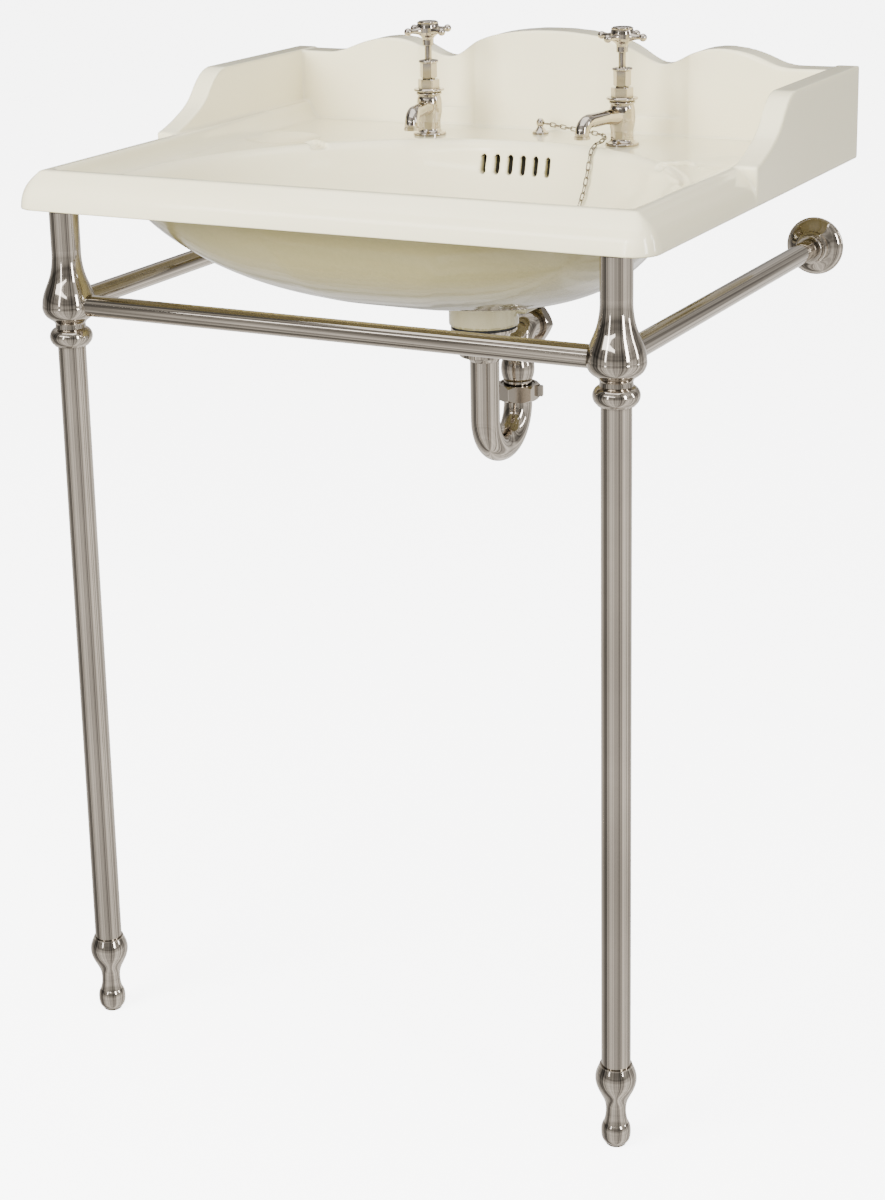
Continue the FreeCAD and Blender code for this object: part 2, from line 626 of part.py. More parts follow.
def leg_foot():
    """Turned foot: a small bun, a waist and a flared cup that takes the tube."""
    seat = FOOT_HEIGHT - FOOT_SOCKET_DEPTH
    return turned([
        (0, 0), (9.2, 0), (10.0, 0.8), (10.2, 2.4),
        ("spline", [(13.2, 6), (14.4, 12.5), (13.8, 20), (11.8, 24.2)]),
        ("spline", [(10.5, 29.5), (9.9, 38), (10.9, 46), (14.7, 55), (18.7, 64), (20.1, 71),
                    (19.3, 78), (17.4, 83), (16.2, FOOT_HEIGHT - 1.2)]),
        (15.9, FOOT_HEIGHT), (LEG_TUBE_R + FIT_GAP, FOOT_HEIGHT), (LEG_TUBE_R + FIT_GAP, seat),
        (8.0, seat), (6.0, seat - 4), (0, seat - 4),
    ], LEG_X, LEG_Y, 0)


def leg_pad():
    """Rubber disc between the leg's head and the ceramic."""
    return cylinder(HEAD_NECK_R, UNDERSIDE_Z - PAD_THICKNESS, UNDERSIDE_Z, LEG_X, LEG_Y)


def front_rail():
    """Tube from one bulb to the other."""
    length = 2 * (LEG_X - RAIL_END_FROM_LEG)
    start = Vector(-length / 2, LEG_Y, RAIL_Z)
    rail = cylinder_along(X_AXIS, RAIL_R, length, start)
    return rail.cut(cylinder_along(X_AXIS, RAIL_R - RAIL_WALL, length, start))


def side_rail():
    """Tube from a bulb to the wall socket."""
    start = Vector(LEG_X, LEG_Y + RAIL_END_FROM_LEG, RAIL_Z)
    length = WALL_Y - WALL_PLATE_THICKNESS - 0.1 - start.y
    rail = cylinder_along(Y_AXIS, RAIL_R, length, start)
    return rail.cut(cylinder_along(Y_AXIS, RAIL_R - RAIL_WALL, length, start))


def on_wall(shape):
    """Lay a part that was turned about Z onto the wall, its foot at the wall and its top outwards."""
    shape.rotate(Vector(0, 0, 0), X_AXIS, 90)
    shape.translate(Vector(LEG_X, WALL_Y, RAIL_Z))
    return shape


def wall_socket():
    """Hidden plate with a short socket for the side rail and holes for three wall screws."""
    t = WALL_PLATE_THICKNESS
    bore = RAIL_R + FIT_GAP
    socket = turned([
        (0, 0), (WALL_PLATE_R, 0), (WALL_PLATE_R, t - 0.5), (WALL_PLATE_R - 0.5, t),
        (WALL_SOCKET_R, t), (WALL_SOCKET_R, WALL_SOCKET_LENGTH), (bore, WALL_SOCKET_LENGTH),
        (bore, t), (0, t),
    ])
    for k in range(3):
        angle = math.radians(90 + 120 * k)
        x = PLATE_SCREW_PCD / 2 * math.cos(angle)
        y = PLATE_SCREW_PCD / 2 * math.sin(angle)
        socket = socket.cut(cylinder(PLATE_SCREW_HOLE_R, -1, t + 1, x, y))
    return on_wall(socket)


def wall_rose():
    """Spun cover: beaded rim, shallow dome, stepped collar around the rail."""
    w = ROSE_WALL
    rose = turned([
        (ROSE_R - w, 0), (ROSE_R, 0), ("arc", (ROSE_R + 0.4, 1.6), (ROSE_R - 1.4, 3.0)),
        ("spline", [(26.5, 5.8), (21.0, 8.6), (17.6, 10.4)]),
        (17.4, 14.8), (16.4, 15.8), (15.0, 16.2), (14.6, 17.4), (14.6, 22.8),
        ("arc", (14.2, 23.6), (13.4, ROSE_DEPTH)), (RAIL_R + 0.1, ROSE_DEPTH),
        (RAIL_R + 0.1, 15.4), (WALL_SOCKET_R + 0.6, 14.4), (WALL_SOCKET_R + 0.6, 10.2),
        (20.4, 7.0), (25.8, 4.4),
    ])
    return on_wall(rose)


# ---------------------------------------------------------------- pillar taps
def tap_frame(shape, side):
    """Move a part made about the origin, heights from the deck, to its tap."""
    shape.translate(Vector(SIDES[side] * TAP_X, TAP_Y, DECK_Z))
    return shape


def spout_paths():
    """Centre line of the spout in its own plane: straight out along +X, then down to the outlet."""
    drop = SPOUT_AXIS_H - SPOUT_OUTLET_H
    r = 13.0
    k = r * math.sqrt(0.5)
    centre = Vector(SPOUT_REACH - r, 0, SPOUT_AXIS_H - r)
    a = Vector(4.0, 0, SPOUT_AXIS_H)
    b = Vector(SPOUT_REACH - r, 0, SPOUT_AXIS_H)
    middle = Vector(centre.x + k, 0, centre.z + k)
    c = Vector(SPOUT_REACH, 0, SPOUT_AXIS_H - r)
    d = Vector(SPOUT_REACH, 0, SPOUT_AXIS_H - drop)
    return [
        Part.LineSegment(a, b).toShape(),
        Part.Arc(b, middle, c).toShape(),
        Part.LineSegment(c, d).toShape(),
    ]


def spout(side):
    """Cast spout, solid, with its bore as a second solid."""
    root = Part.makeCone(9.2, 7.6, 26.0, Vector(4.0, 0, SPOUT_AXIS_H - 2.0), Vector(26, 0, 2))
    arm = sweep_round(spout_paths(), 7.6)
    lip = cylinder(8.6, SPOUT_OUTLET_H, SPOUT_OUTLET_H + 3.2, SPOUT_REACH, 0)
    body = fuse_all([arm, root, lip])
    bore = sweep_round(spout_paths(), SPOUT_BORE_R + 1.4)
    mouth = cylinder(6.4, SPOUT_OUTLET_H - 1, SPOUT_OUTLET_H + 5.0, SPOUT_REACH, 0)
    bore = bore.fuse(mouth)
    turn = -90 - SIDES[side] * SPOUT_ANGLE
    for shape in (body, bore):
        shape.rotate(Vector(0, 0, 0), Z_AXIS, turn)
    return body, bore


def tap_body(side):
    """Cast body: threaded tail, base flange, turned barrel and spout, with seat and chamber inside."""
    top = BODY_TOP_H
    end = -TAP_TAIL_LENGTH
    groove = end + 0.8 + TAP_TAIL_FREE
    barrel = turned([
        (0, end), (TAP_TAIL_R - 0.8, end), (TAP_TAIL_R, end + 0.8), (TAP_TAIL_R, groove),
        (TAP_TAIL_R - 0.5, groove + 0.5), (TAP_TAIL_R - 0.5, groove + 1.7), (TAP_TAIL_R, groove + 2.2),
        (TAP_TAIL_R, 0), (18.0, 0), (18.0, 1.6), ("arc", (17.5, 2.8), (16.2, 3.2)),
        (14.8, 3.6), ("arc", (12.9, 5.2), (12.4, 8.0)), (12.2, 15.0),
        ("spline", [(13.0, 19.5), (13.9, 25.0), (14.0, 33.0), (13.4, 40.0), (12.4, 43.0)]),
        (12.4, 44.2), (13.6, 44.8), ("arc", (14.2, 46.1), (13.6, 47.4)), (13.0, 47.8), (13.0, top),
        (0, top),
    ])
    arm, bore = spout(side)
    body = fuse_all([barrel, arm])
    hollow = turned([
        (0, end - 1), (6.5, end - 1), (6.5, SEAT_H - 6), (SEAT_BORE_R, SEAT_H - 4),
        (SEAT_BORE_R, SEAT_H), (SEAT_BORE_R + 1.3, SEAT_H), (SEAT_BORE_R + 1.9, SEAT_H - 1.2),
        (CHAMBER_R, SEAT_H - 1.2), (CHAMBER_R, top + 1), (0, top + 1),
    ])
    body = body.cut(hollow)
    passage = bore.cut(cylinder(SEAT_BORE_R + 2.2, SPOUT_OUTLET_H, SEAT_H, 0, 0))
    return tap_frame(body.cut(passage), side)


def tap_bonnet(side):
    """Headwork body: spigot in the chamber, thin disc, hexagon, threaded neck for the gland nut."""
    base = BODY_TOP_H
    low = base - BONNET_SPIGOT_DEPTH
    neck = base + NECK_TOP
    spigot_r = CHAMBER_R - FIT_GAP
    shell = turned([
        (FOOT_R + RUNNING_GAP, low), (spigot_r - 0.5, low), (spigot_r, low + 0.5), (spigot_r, base),
        (16.6, base), ("arc", (17.1, base + 1.1), (16.6, base + 2.2)), (12.0, base + 2.8),
        (12.0, base + 12.0), (11.0, base + 13.0), (NECK_R, base + 13.0), (NECK_R, neck),
        (SPINDLE_R + RUNNING_GAP, neck), (SPINDLE_R + RUNNING_GAP, base + 11.0),
        (FOOT_R + RUNNING_GAP, base + 11.0),
    ])
    hexagon = hexagon_prism(21.4, base + 2.0, base + 12.6, 0, 0, 15)
    trimmed = shell.common(cylinder(20.0, low - 1, base + 2.7))
    trimmed = trimmed.fuse(shell.common(hexagon))
    trimmed = trimmed.fuse(shell.common(cylinder(NECK_R, base + 1.0, neck + 1.0)))
    return tap_frame(trimmed.removeSplitter(), side)


def gland_nut(side):
    """Slim hexagon that screws over the bonnet's neck and presses the packing, with a ring on top."""
    low = BODY_TOP_H + 14.4
    high = BODY_TOP_H + NECK_TOP + PACKING_HEIGHT
    nut = hexagon_prism(16.4, low, high + 2.0, 0, 0, 15)
    nut = nut.common(turned([
        (0, low), (8.4, low), (9.5, low + 1.0), (9.5, high + 1.0), (8.6, high + 2.0), (0, high + 2.0),
    ]))
    ring = turned([
        (0, high + 1.6), (9.4, high + 1.6), ("arc", (11.0, high + 3.2), (9.4, high + 4.8)),
        (6.4, high + 5.2), (0, high + 5.2),
    ])
    nut = fuse_all([nut, ring])
    bore = turned([
        (0, low - 0.4), (NECK_R + FIT_GAP, low - 0.4), (NECK_R + FIT_GAP, high),
        (SPINDLE_R + 0.1, high), (SPINDLE_R + 0.1, high + 6.0), (0, high + 6.0),
    ])
    return tap_frame(nut.cut(bore), side)


def gland_packing(side):
    """Soft ring squeezed between the bonnet's neck and the gland nut."""
    low = BODY_TOP_H + NECK_TOP
    high = low + PACKING_HEIGHT
    ring = cylinder(NECK_R, low, high).cut(cylinder(SPINDLE_R + 0.06, low - 1, high + 1))
    return tap_frame(ring, side)


def tap_spindle(side):
    """Spindle: thick threaded foot with a bore for the jumper's stem, slim shaft, squared top."""
    low = BODY_TOP_H - 13.0
    shoulder = BODY_TOP_H + 10.8
    shaft = turned([
        (2.5 + RUNNING_GAP, low), (FOOT_R - 0.6, low), (FOOT_R, low + 0.6), (FOOT_R, shoulder),
        (SPINDLE_R, shoulder), (SPINDLE_R, HUB_BOTTOM_H), (3.6, HUB_BOTTOM_H), (3.6, SPINDLE_TOP_H),
        (0, SPINDLE_TOP_H), (0, low + 15.5), (2.5 + RUNNING_GAP, low + 14.0),
    ])
    square = box(-3.1, 3.1, -3.1, 3.1, HUB_BOTTOM_H + 3.0, SPINDLE_TOP_H + 1)
    top = shaft.common(square)
    shaft = shaft.cut(cylinder(10.0, HUB_BOTTOM_H + 3.0, SPINDLE_TOP_H + 1))
    shaft = fuse_all([shaft, top])
    shaft = shaft.cut(cylinder(1.9, SPINDLE_TOP_H - 11.0, SPINDLE_TOP_H + 1))
    shaft.rotate(Vector(0, 0, 0), Z_AXIS, HANDLE_ANGLES[side])
    return tap_frame(shaft, side)


def handle_arm():
    """One arm along +X: a taper, a fine neck and a ball."""
    ball_r = 4.3
    neck = 2.5
    before = ARM_REACH - math.sqrt(ball_r ** 2 - neck ** 2)
    arm = turned([
        (0, 4.0), (5.6, 4.0), (5.2, 10.0), ("spline", [(3.8, 14.0), (2.9, 18.5), (neck, before)]),
        ("arc", (ball_r, ARM_REACH), (0, ARM_REACH + ball_r)),
    ])
    arm.rotate(Vector(0, 0, 0), Y_AXIS, 90)
    arm.translate(Vector(0, 0, ARM_H))
    return arm


def tap_handle(side):
    """Cross handle: flared hub with four ball-ended arms, squared bore and a recess for the index."""
    top = HANDLE_TOP_H
    low = HUB_BOTTOM_H
    hub = turned([
        (0, low), (6.0, low), (6.3, low + 0.6), (6.3, low + 6.0),
        ("spline", [(7.0, low + 8.4), (9.2, low + 10.6), (11.2, low + 12.6)]), (12.4, top - 12.4),
        (12.6, top - 7.5), (12.2, top - 4.4), (11.6, top - 2.8), (11.8, top - 1.4), (0, top - 1.4),
    ])
    arms = []
    for k in range(4):
        arm = handle_arm()
        arm.rotate(Vector(0, 0, 0), Z_AXIS, 90 * k)
        arms.append(arm)
    handle = fuse_all([hub] + arms)
    gap = FIT_GAP
    handle = handle.cut(cylinder(3.6 + gap, low - 1, low + 3.2))
    handle = handle.cut(box(-3.15, 3.15, -3.15, 3.15, low, SPINDLE_TOP_H + 0.2))
    handle = handle.cut(cylinder(5.4, SPINDLE_TOP_H, top))
    handle = handle.cut(cylinder(10.6, top - 3.2, top))
    handle.rotate(Vector(0, 0, 0), Z_AXIS, HANDLE_ANGLES[side])
    return tap_frame(handle, side)


def handle_screw(side):
    """Slotted screw that holds the handle down on the spindle's square."""
    low = SPINDLE_TOP_H - 10.0
    head = SPINDLE_TOP_H + 0.2
    screw = turned([(0, low), (1.85, low + 0.6), (1.85, head), (4.6, head), (4.6, head + 2.0), (0, head + 2.4)])
    screw = screw.cut(box(-5, 5, -0.5, 0.5, head + 1.2, head + 3))
    return tap_frame(screw, side)


def tap_index(side):
    """Button that closes the handle's top."""
    top = HANDLE_TOP_H
    button = turned([
        (0, top - 3.2), (10.5, top - 3.2), (10.5, top - 1.2), ("arc", (10.2, top - 0.5), (9.5, top - 0.2)),
        (7.4, top), (0, top),
    ])
    return tap_frame(button, side)


def valve_jumper(side):
    """Disc and stem that carry the valve washer and slide in the spindle's bore."""
    jumper = turned([
        (0, SEAT_H + 3.0), (8.0, SEAT_H + 3.0), (8.0, SEAT_H + 5.0), (3.4, SEAT_H + 5.8), (2.5, SEAT_H + 7.0),
        (2.5, SEAT_H + 18.6), (1.9, SEAT_H + 19.2), (0, SEAT_H + 19.2),
    ])
    return tap_frame(jumper, side)


def valve_washer(side):
    """Rubber disc that closes the seat."""
    return tap_frame(cylinder(7.6, SEAT_H, SEAT_H + 3.0), side)


def tap_washer(side):
    """Rubber top-hat washer that centres the tail in its hole."""
    low = UNDERSIDE_Z - DECK_Z - 3.0
    washer = turned([
        (TAP_TAIL_R + FIT_GAP, low), (18.0, low), (18.0, low + 3.0), (TAP_HOLE_R - 0.3, low + 3.0),
        (TAP_HOLE_R - 0.3, low + 7.0), (TAP_TAIL_R + FIT_GAP, low + 7.0),
    ])
    return tap_frame(washer, side)


def tap_backnut(side):
    """Backnut that clamps the tap against the slab's underside."""
    high = UNDERSIDE_Z - DECK_Z - 3.0
    nut = hex_nut(30.0, high - 8.0, high - 1.6, TAP_TAIL_R + FIT_GAP)
    flange = cylinder(17.0, high - 1.8, high).cut(cylinder(TAP_TAIL_R + FIT_GAP, high - 2, high + 1))
    return tap_frame(fuse_all([nut, flange]), side)


# ---------------------------------------------------------------- waste, plug and chain
def chain_stay():
    """Small stay on the deck: flange, bell, pierced ball, and a shank through the deck."""
    stay = turned([
        (0, -38), (3.5, -38), (4.0, -37.5), (4.0, 0), (9.0, 0), (9.0, 1.4), ("arc", (8.6, 2.4), (7.6, 2.8)),
        ("spline", [(5.6, 4.4), (3.9, 6.6), (3.2, 8.6)]),
        ("arc", (4.6, 12.4), (3.0, 16.2)), (2.2, STAY_HEIGHT), (0, STAY_HEIGHT),
    ], 0, STAY_Y, DECK_Z)
    eye = Vector(-8, STAY_Y, DECK_Z + 12.4)
    return stay.cut(cylinder_along(X_AXIS, 1.7, 16.0, eye))


def chain_stay_nut():
    """Nut under the deck for the chain stay."""
    return hex_nut(13.0, UNDERSIDE_Z - 6.5, UNDERSIDE_Z, 4.0 + FIT_GAP, 0, STAY_Y)


def waste_flange():
    """Waste: dished flange in the bowl, threaded tail with two overflow ports, seat for the plug."""
    top = BOWL_FLOOR_Z
    under = top - WASTE_FLANGE_T
    tail_end = WASTE_TAIL_BOTTOM_Z
    waste = turned([
        (WASTE_BORE_R, tail_end), (WASTE_TAIL_R - 0.8, tail_end), (WASTE_TAIL_R, tail_end + 0.8),
        (WASTE_TAIL_R, under), (WASTE_FLANGE_R, under), (WASTE_FLANGE_R, under + 0.8),
        ("arc", (31.4, under + 2.2), (28.0, top)), (PLUG_TOP_R, top - 0.4), (WASTE_BORE_R, top - 19.0),
    ], 0, WASTE_Y, 0)
    port_z = BOSS_BOTTOM_Z + 22.0
    port = box(-9.0, 9.0, WASTE_Y, WASTE_Y + 30.0, port_z + 1.0, port_z + 11.0)
    front_port = box(-9.0, 9.0, WASTE_Y - 30.0, WASTE_Y, port_z + 1.0, port_z + 11.0)
    return waste.cut(port).cut(front_port)


def waste_gasket():
    """Thin rubber ring under the waste's flange."""
    low = BOWL_FLOOR_Z - WASTE_FLANGE_T - 1.0
    ring = cylinder(WASTE_FLANGE_R - 0.5, low, low + 1.0, 0, WASTE_Y)
    return ring.cut(cylinder(WASTE_HOLE_R, low - 1, low + 2, 0, WASTE_Y))


def waste_washer():
    """Rubber washer between the boss and the backnut."""
    low = BOSS_BOTTOM_Z - 3.0
    ring = cylinder(WASTE_NUT_R - 2.0, low, BOSS_BOTTOM_Z, 0, WASTE_Y)
    return ring.cut(cylinder(WASTE_TAIL_R + FIT_GAP, low - 1, BOSS_BOTTOM_Z + 1, 0, WASTE_Y))


def waste_backnut():
    """Conical backnut with six finger flutes."""
    high = BOSS_BOTTOM_Z - 3.0
    low = high - WASTE_NUT_HEIGHT
    bore = WASTE_TAIL_R + FIT_GAP
    nut = turned([
        (bore, low), (25.5, low), (27.0, low + 1.5), (29.0, high - 6.0),
        (WASTE_NUT_R - 0.6, high - 3.4), (WASTE_NUT_R, high - 2.6), (WASTE_NUT_R, high), (bore, high),
    ], 0, WASTE_Y, 0)
    for k in range(6):
        angle = math.radians(60 * k + 30)
        x = 33.0 * math.cos(angle)
        y = WASTE_Y + 33.0 * math.sin(angle)
        nut = nut.cut(cylinder(6.0, low - 1, high - 4.0, x, y))
    return nut


def plug():
    """Tapered rubber plug seated in the waste."""
    top = BOWL_FLOOR_Z
    slope = (PLUG_TOP_R - WASTE_BORE_R) / 18.6
    low_r = PLUG_TOP_R - 0.2 - slope * PLUG_HEIGHT
    return turned([
        (0, top - PLUG_HEIGHT), (low_r - 1.0, top - PLUG_HEIGHT), (low_r, top - PLUG_HEIGHT + 1.0),
        (PLUG_TOP_R - 0.3, top - 0.4), (PLUG_TOP_R + 2.2, top + 0.5), (PLUG_TOP_R + 2.4, top + 2.0),
        ("arc", (PLUG_TOP_R + 1.8, top + 2.9), (PLUG_TOP_R + 0.4, top + 3.2)), (7.0, top + 3.8),
        (0, top + 3.8),
    ], 0, WASTE_Y, 0)


def plug_eye():
    """Metal button on the plug with an upright ring for the chain."""
    low = BOWL_FLOOR_Z + 3.8
    button = turned([
        (0, low), (7.0, low), ("arc", (5.6, low + 1.6), (2.6, low + 2.2)), (2.4, low + 3.0), (0, low + 3.0),
    ], 0, WASTE_Y, 0)
    ring = Part.makeTorus(3.6, 0.8, Vector(0, WASTE_Y, low + 6.0), Y_AXIS)
    return fuse_all([button, ring])


def chain_route():
    """Points of the chain's centre line, from the stay's eye past the right tap and down the bowl."""
    return [
        Vector(x, WALL_Y - back, z) for x, back, z in [
            (7.0, 62.0, 920.0), (40.0, 76.0, 918.6), (70.0, 88.5, 917.4), (93.0, 98.5, 916.6),
            (99.2, 107.5, 915.2), (98.2, 117.5, 912.8), (96.8, 127.0, 911.6), (96.0, 134.5, 909.8),
            (95.6, 140.0, 904.5), (95.3, 143.4, 896.0), (94.8, 149.0, 878.0), (93.6, 157.0, 860.0),
            (91.0, 166.5, 843.0), (86.5, 176.0, 826.0), (79.0, 184.5, 811.0), (68.0, 191.5, 799.5),
            (54.0, 197.5, 792.6), (40.0, 202.0, 790.6), (25.0, 205.6, 790.6), (9.5, 208.0, 793.0),
        ]
    ]


def chain_link():
    """One flat-wire link about the origin, long axis +X, lying in the XY plane."""
    inner_half = (CHAIN_PITCH + CHAIN_PLAY) / 2
    inner_r = CHAIN_LINK_WIDTH / 2 - CHAIN_WIRE
    straight = inner_half - inner_r
    outlines = []
    for r in (inner_r + CHAIN_WIRE, inner_r):
        a, b = Vector(-straight, -r, 0), Vector(straight, -r, 0)
        c, d = Vector(straight, r, 0), Vector(-straight, r, 0)
        outlines.append(Part.Wire([
            Part.LineSegment(a, b).toShape(),
            Part.Arc(b, Vector(straight + r, 0, 0), c).toShape(),
            Part.LineSegment(c, d).toShape(),
            Part.Arc(d, Vector(-straight - r, 0, 0), a).toShape(),
        ]))
    face = Part.Face(outlines)
    link = face.extrude(Vector(0, 0, CHAIN_WIRE))
    link.translate(Vector(0, 0, -CHAIN_WIRE / 2))
    return link


def plug_chain():
    """Link chain along its route, each link turned a quarter against the last."""
    curve = Part.BSplineCurve()
    curve.interpolate(chain_route())
    length = curve.length()
    count = int(round(length / CHAIN_PITCH))
    links = []
    for k in range(count):
        a = curve.value(curve.parameterAtDistance(length * k / count, curve.FirstParameter))
        b = curve.value(curve.parameterAtDistance(length * (k + 1) / count, curve.FirstParameter))
        along = (b - a).normalize()
        across = Z_AXIS.cross(along)
        if across.Length < 0.2:
            across = X_AXIS.cross(along)
        across.normalize()
        up = along.cross(across)
        if k % 2:
            across, up = up, across * -1
        middle = (a + b) * 0.5
        link = chain_link()
        link.Placement = FreeCAD.Placement(FreeCAD.Matrix(
            along.x, across.x, up.x, middle.x,
            along.y, across.y, up.y, middle.y,
            along.z, across.z, up.z, middle.z,
            0, 0, 0, 1,
        ))
        links.append(link)
    return Part.makeCompound(links)


# ---------------------------------------------------------------- trap
def trap_path(z_start, z_end):
    """Centre line of the U: down the front leg, round the bend and up the rear leg."""
    y0, y1 = WASTE_Y, WASTE_Y + TRAP_CENTRES
    middle = Vector(0, (y0 + y1) / 2, TRAP_BEND_Z - TRAP_CENTRES / 2)
    return [
        Part.LineSegment(Vector(0, y0, z_start), Vector(0, y0, TRAP_BEND_Z)).toShape(),
        Part.Arc(Vector(0, y0, TRAP_BEND_Z), middle, Vector(0, y1, TRAP_BEND_Z)).toShape(),
        Part.LineSegment(Vector(0, y1, TRAP_BEND_Z), Vector(0, y1, z_end)).toShape(),
    ]


def trap_u_bend():
    """U-bend with a cup for the waste's tail at one end and a lipped end for the union."""
    cup_top = WASTE_TAIL_BOTTOM_Z + 9.0
    cup_low = WASTE_TAIL_BOTTOM_Z - 3.0
    rear_y = WASTE_Y + TRAP_CENTRES
    bore = WASTE_TAIL_R + 0.15
    cup = turned([
        (0, cup_low - 8), (TRAP_TUBE_R, cup_low - 8), (bore + 1.8, cup_low), (bore + 1.8, cup_top),
        (0, cup_top),
    ], 0, WASTE_Y, 0)
    lip = cylinder(TRAP_TUBE_R + 3.2, TRAP_UNION_Z - 5.0, TRAP_UNION_Z - 0.1, 0, rear_y)
    tube = sweep_round(trap_path(cup_low - 2, TRAP_UNION_Z - 0.1), TRAP_TUBE_R)
    body = fuse_all([tube, cup, lip])
    hollow = sweep_round(trap_path(cup_low + 0.5, TRAP_UNION_Z + 1), TRAP_TUBE_R - TRAP_WALL)
    return body.cut(hollow).cut(cylinder(bore, WASTE_TAIL_BOTTOM_Z - 0.2, cup_top + 1, 0, WASTE_Y))


def trap_inlet_nut():
    """Slip nut over the cup, with grip ribs."""
    cup_r = WASTE_TAIL_R + 0.15 + 1.8
    high = WASTE_TAIL_BOTTOM_Z + 12.0
    low = high - 17.0
    bore = WASTE_TAIL_R + 0.15
    nut = turned([
        (cup_r + 0.1, low), (26.6, low), (27.4, low + 1.0), (27.4, high - 3.0), (25.4, high),
        (bore, high), (bore, high - 2.6), (cup_r + 0.1, high - 2.6),
    ], 0, WASTE_Y, 0)
    for k in range(12):
        angle = math.radians(30 * k)
        x = 28.6 * math.cos(angle)
        y = WASTE_Y + 28.6 * math.sin(angle)
        nut = nut.cut(cylinder(2.4, low - 1, high - 3.5, x, y))
    return nut


def trap_union_nut():
    """Union nut on the rear leg: hexagon with two wing lugs."""
    rear_y = WASTE_Y + TRAP_CENTRES
    low = TRAP_UNION_Z - 9.0
    high = TRAP_UNION_Z + 9.0
    nut = hexagon_prism(44.0, low, high, 0, rear_y, 30)
    nut = nut.common(turned([
        (0, low), (22.5, low), (25.2, low + 2.6), (25.2, high - 2.6), (22.5, high), (0, high),
    ], 0, rear_y, 0))
    lugs = []
    for turn in (20.0, 200.0):
        lug = box(16.0, 28.5, -3.2, 3.2, low + 3.0, high - 3.0)
        lug = lug.makeFillet(1.6, [e for e in lug.Edges if e.BoundBox.XMin > 28.0])
        lug.rotate(Vector(0, 0, 0), Z_AXIS, turn)
        lug.translate(Vector(0, rear_y, 0))
        lugs.append(lug)
    nut = fuse_all([nut] + lugs)
    nut = nut.cut(cylinder(TRAP_TUBE_R + 0.1, low - 1, high + 1, 0, rear_y))
    return nut.cut(cylinder(TRAP_TUBE_R + 3.3, TRAP_UNION_Z - 5.1, high + 1, 0, rear_y))


def trap_outlet_elbow():
    """Upper rear leg with a threaded collar below, a swelling, and a bend to the wall."""
    y = WASTE_Y + TRAP_CENTRES
    r = OUTLET_BEND_R
    k = r * (1 - math.sqrt(0.5))
    low = Vector(0, y, TRAP_UNION_Z)
    a = Vector(0, y, OUTLET_Z - r)
    b = Vector(0, y + k, OUTLET_Z - k)
    c = Vector(0, y + r, OUTLET_Z)
    end = Vector(0, y + OUTLET_STUB, OUTLET_Z)
    past = Vector(0, y + OUTLET_STUB + 1, OUTLET_Z)
    below = Vector(0, y, TRAP_UNION_Z - 1)
    outside = [Part.LineSegment(low, a).toShape(), Part.Arc(a, b, c).toShape(),
               Part.LineSegment(c, end).toShape()]
    inside = [Part.LineSegment(below, a).toShape(), Part.Arc(a, b, c).toShape(),
              Part.LineSegment(c, past).toShape()]
    collar = cylinder(TRAP_TUBE_R + 3.2, TRAP_UNION_Z, TRAP_UNION_Z + 8.0, 0, y)
    foot = TRAP_UNION_Z + 13.0
    top = foot + 26.0
    swelling = turned([
        (0, foot), (TRAP_TUBE_R, foot), ("spline", [
            (TRAP_TUBE_R + 2.0, foot + 6.0), (TRAP_TUBE_R + 2.8, foot + 13.0),
            (TRAP_TUBE_R + 2.0, foot + 20.0), (TRAP_TUBE_R, top),
        ]), (0, top),
    ], 0, y, 0)
    body = fuse_all([sweep_round(outside, TRAP_TUBE_R), collar, swelling])
    return body.cut(sweep_round(inside, TRAP_TUBE_R - TRAP_WALL))


def trap_outlet_nut():
    """Compression nut on the outlet, ready for the waste pipe."""
    low = 1.5
    high = 15.5
    nut = hex_nut(40.0, low, high, TRAP_TUBE_R + 0.1)
    nut.rotate(Vector(0, 0, 0), X_AXIS, 90)
    nut.translate(Vector(0, WASTE_Y + TRAP_CENTRES + OUTLET_STUB, OUTLET_Z))
    return nut


# ---------------------------------------------------------------- every piece, once
CENTRE_PIECES = {
    "basin": basin,
    "front_rail": front_rail,
    "grub_screws": grub_screws,
    "chain_stay": chain_stay,
    "chain_stay_nut": chain_stay_nut,
    "plug_chain": plug_chain,
    "plug": plug,
    "plug_eye": plug_eye,
    "waste_flange": waste_flange,
    "waste_gasket": waste_gasket,
    "waste_washer": waste_washer,
    "waste_backnut": waste_backnut,
    "trap_inlet_nut": trap_inlet_nut,
    "trap_u_bend": trap_u_bend,
    "trap_union_nut": trap_union_nut,
    "trap_outlet_elbow": trap_outlet_elbow,
    "trap_outlet_nut": trap_outlet_nut,
}
MIRRORED_PIECES = {
    "leg_head": leg_head,
    "leg_collar": leg_collar,
    "leg_tube": leg_tube,
    "leg_foot": leg_foot,
    "leg_pad": leg_pad,
    "side_rail": side_rail,
    "wall_socket": wall_socket,
    "wall_rose": wall_rose,
}
TAP_PIECES = {
    "tap_body": tap_body,
    "tap_bonnet": tap_bonnet,
    "gland_nut": gland_nut,
    "gland_packing": gland_packing,
    "tap_spindle": tap_spindle,
    "tap_handle": tap_handle,
    "handle_screw": handle_screw,
    "tap_index": tap_index,
    "valve_jumper": valve_jumper,
    "valve_washer": valve_washer,
    "tap_washer": tap_washer,
    "tap_backnut": tap_backnut,
}


def main():
    """Write one STEP file for each named piece."""
    os.makedirs("parts", exist_ok=True)
    pieces = {name: make() for name, make in CENTRE_PIECES.items()}
    for side in SIDES:
        for name, make in MIRRORED_PIECES.items():
            pieces[side + "_" + name] = mirrored(make(), side)
        for name, make in TAP_PIECES.items():
            pieces[side + "_" + name] = make(side)
    for name, shape in pieces.items():
        shape.exportStep(os.path.join("parts", name + ".step"))


main()
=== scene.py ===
"""Looks, camera and light for the console basin on two legs. Metres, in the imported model's frame."""
import json
import math

import bmesh
import bpy
from mathutils import Matrix, Vector


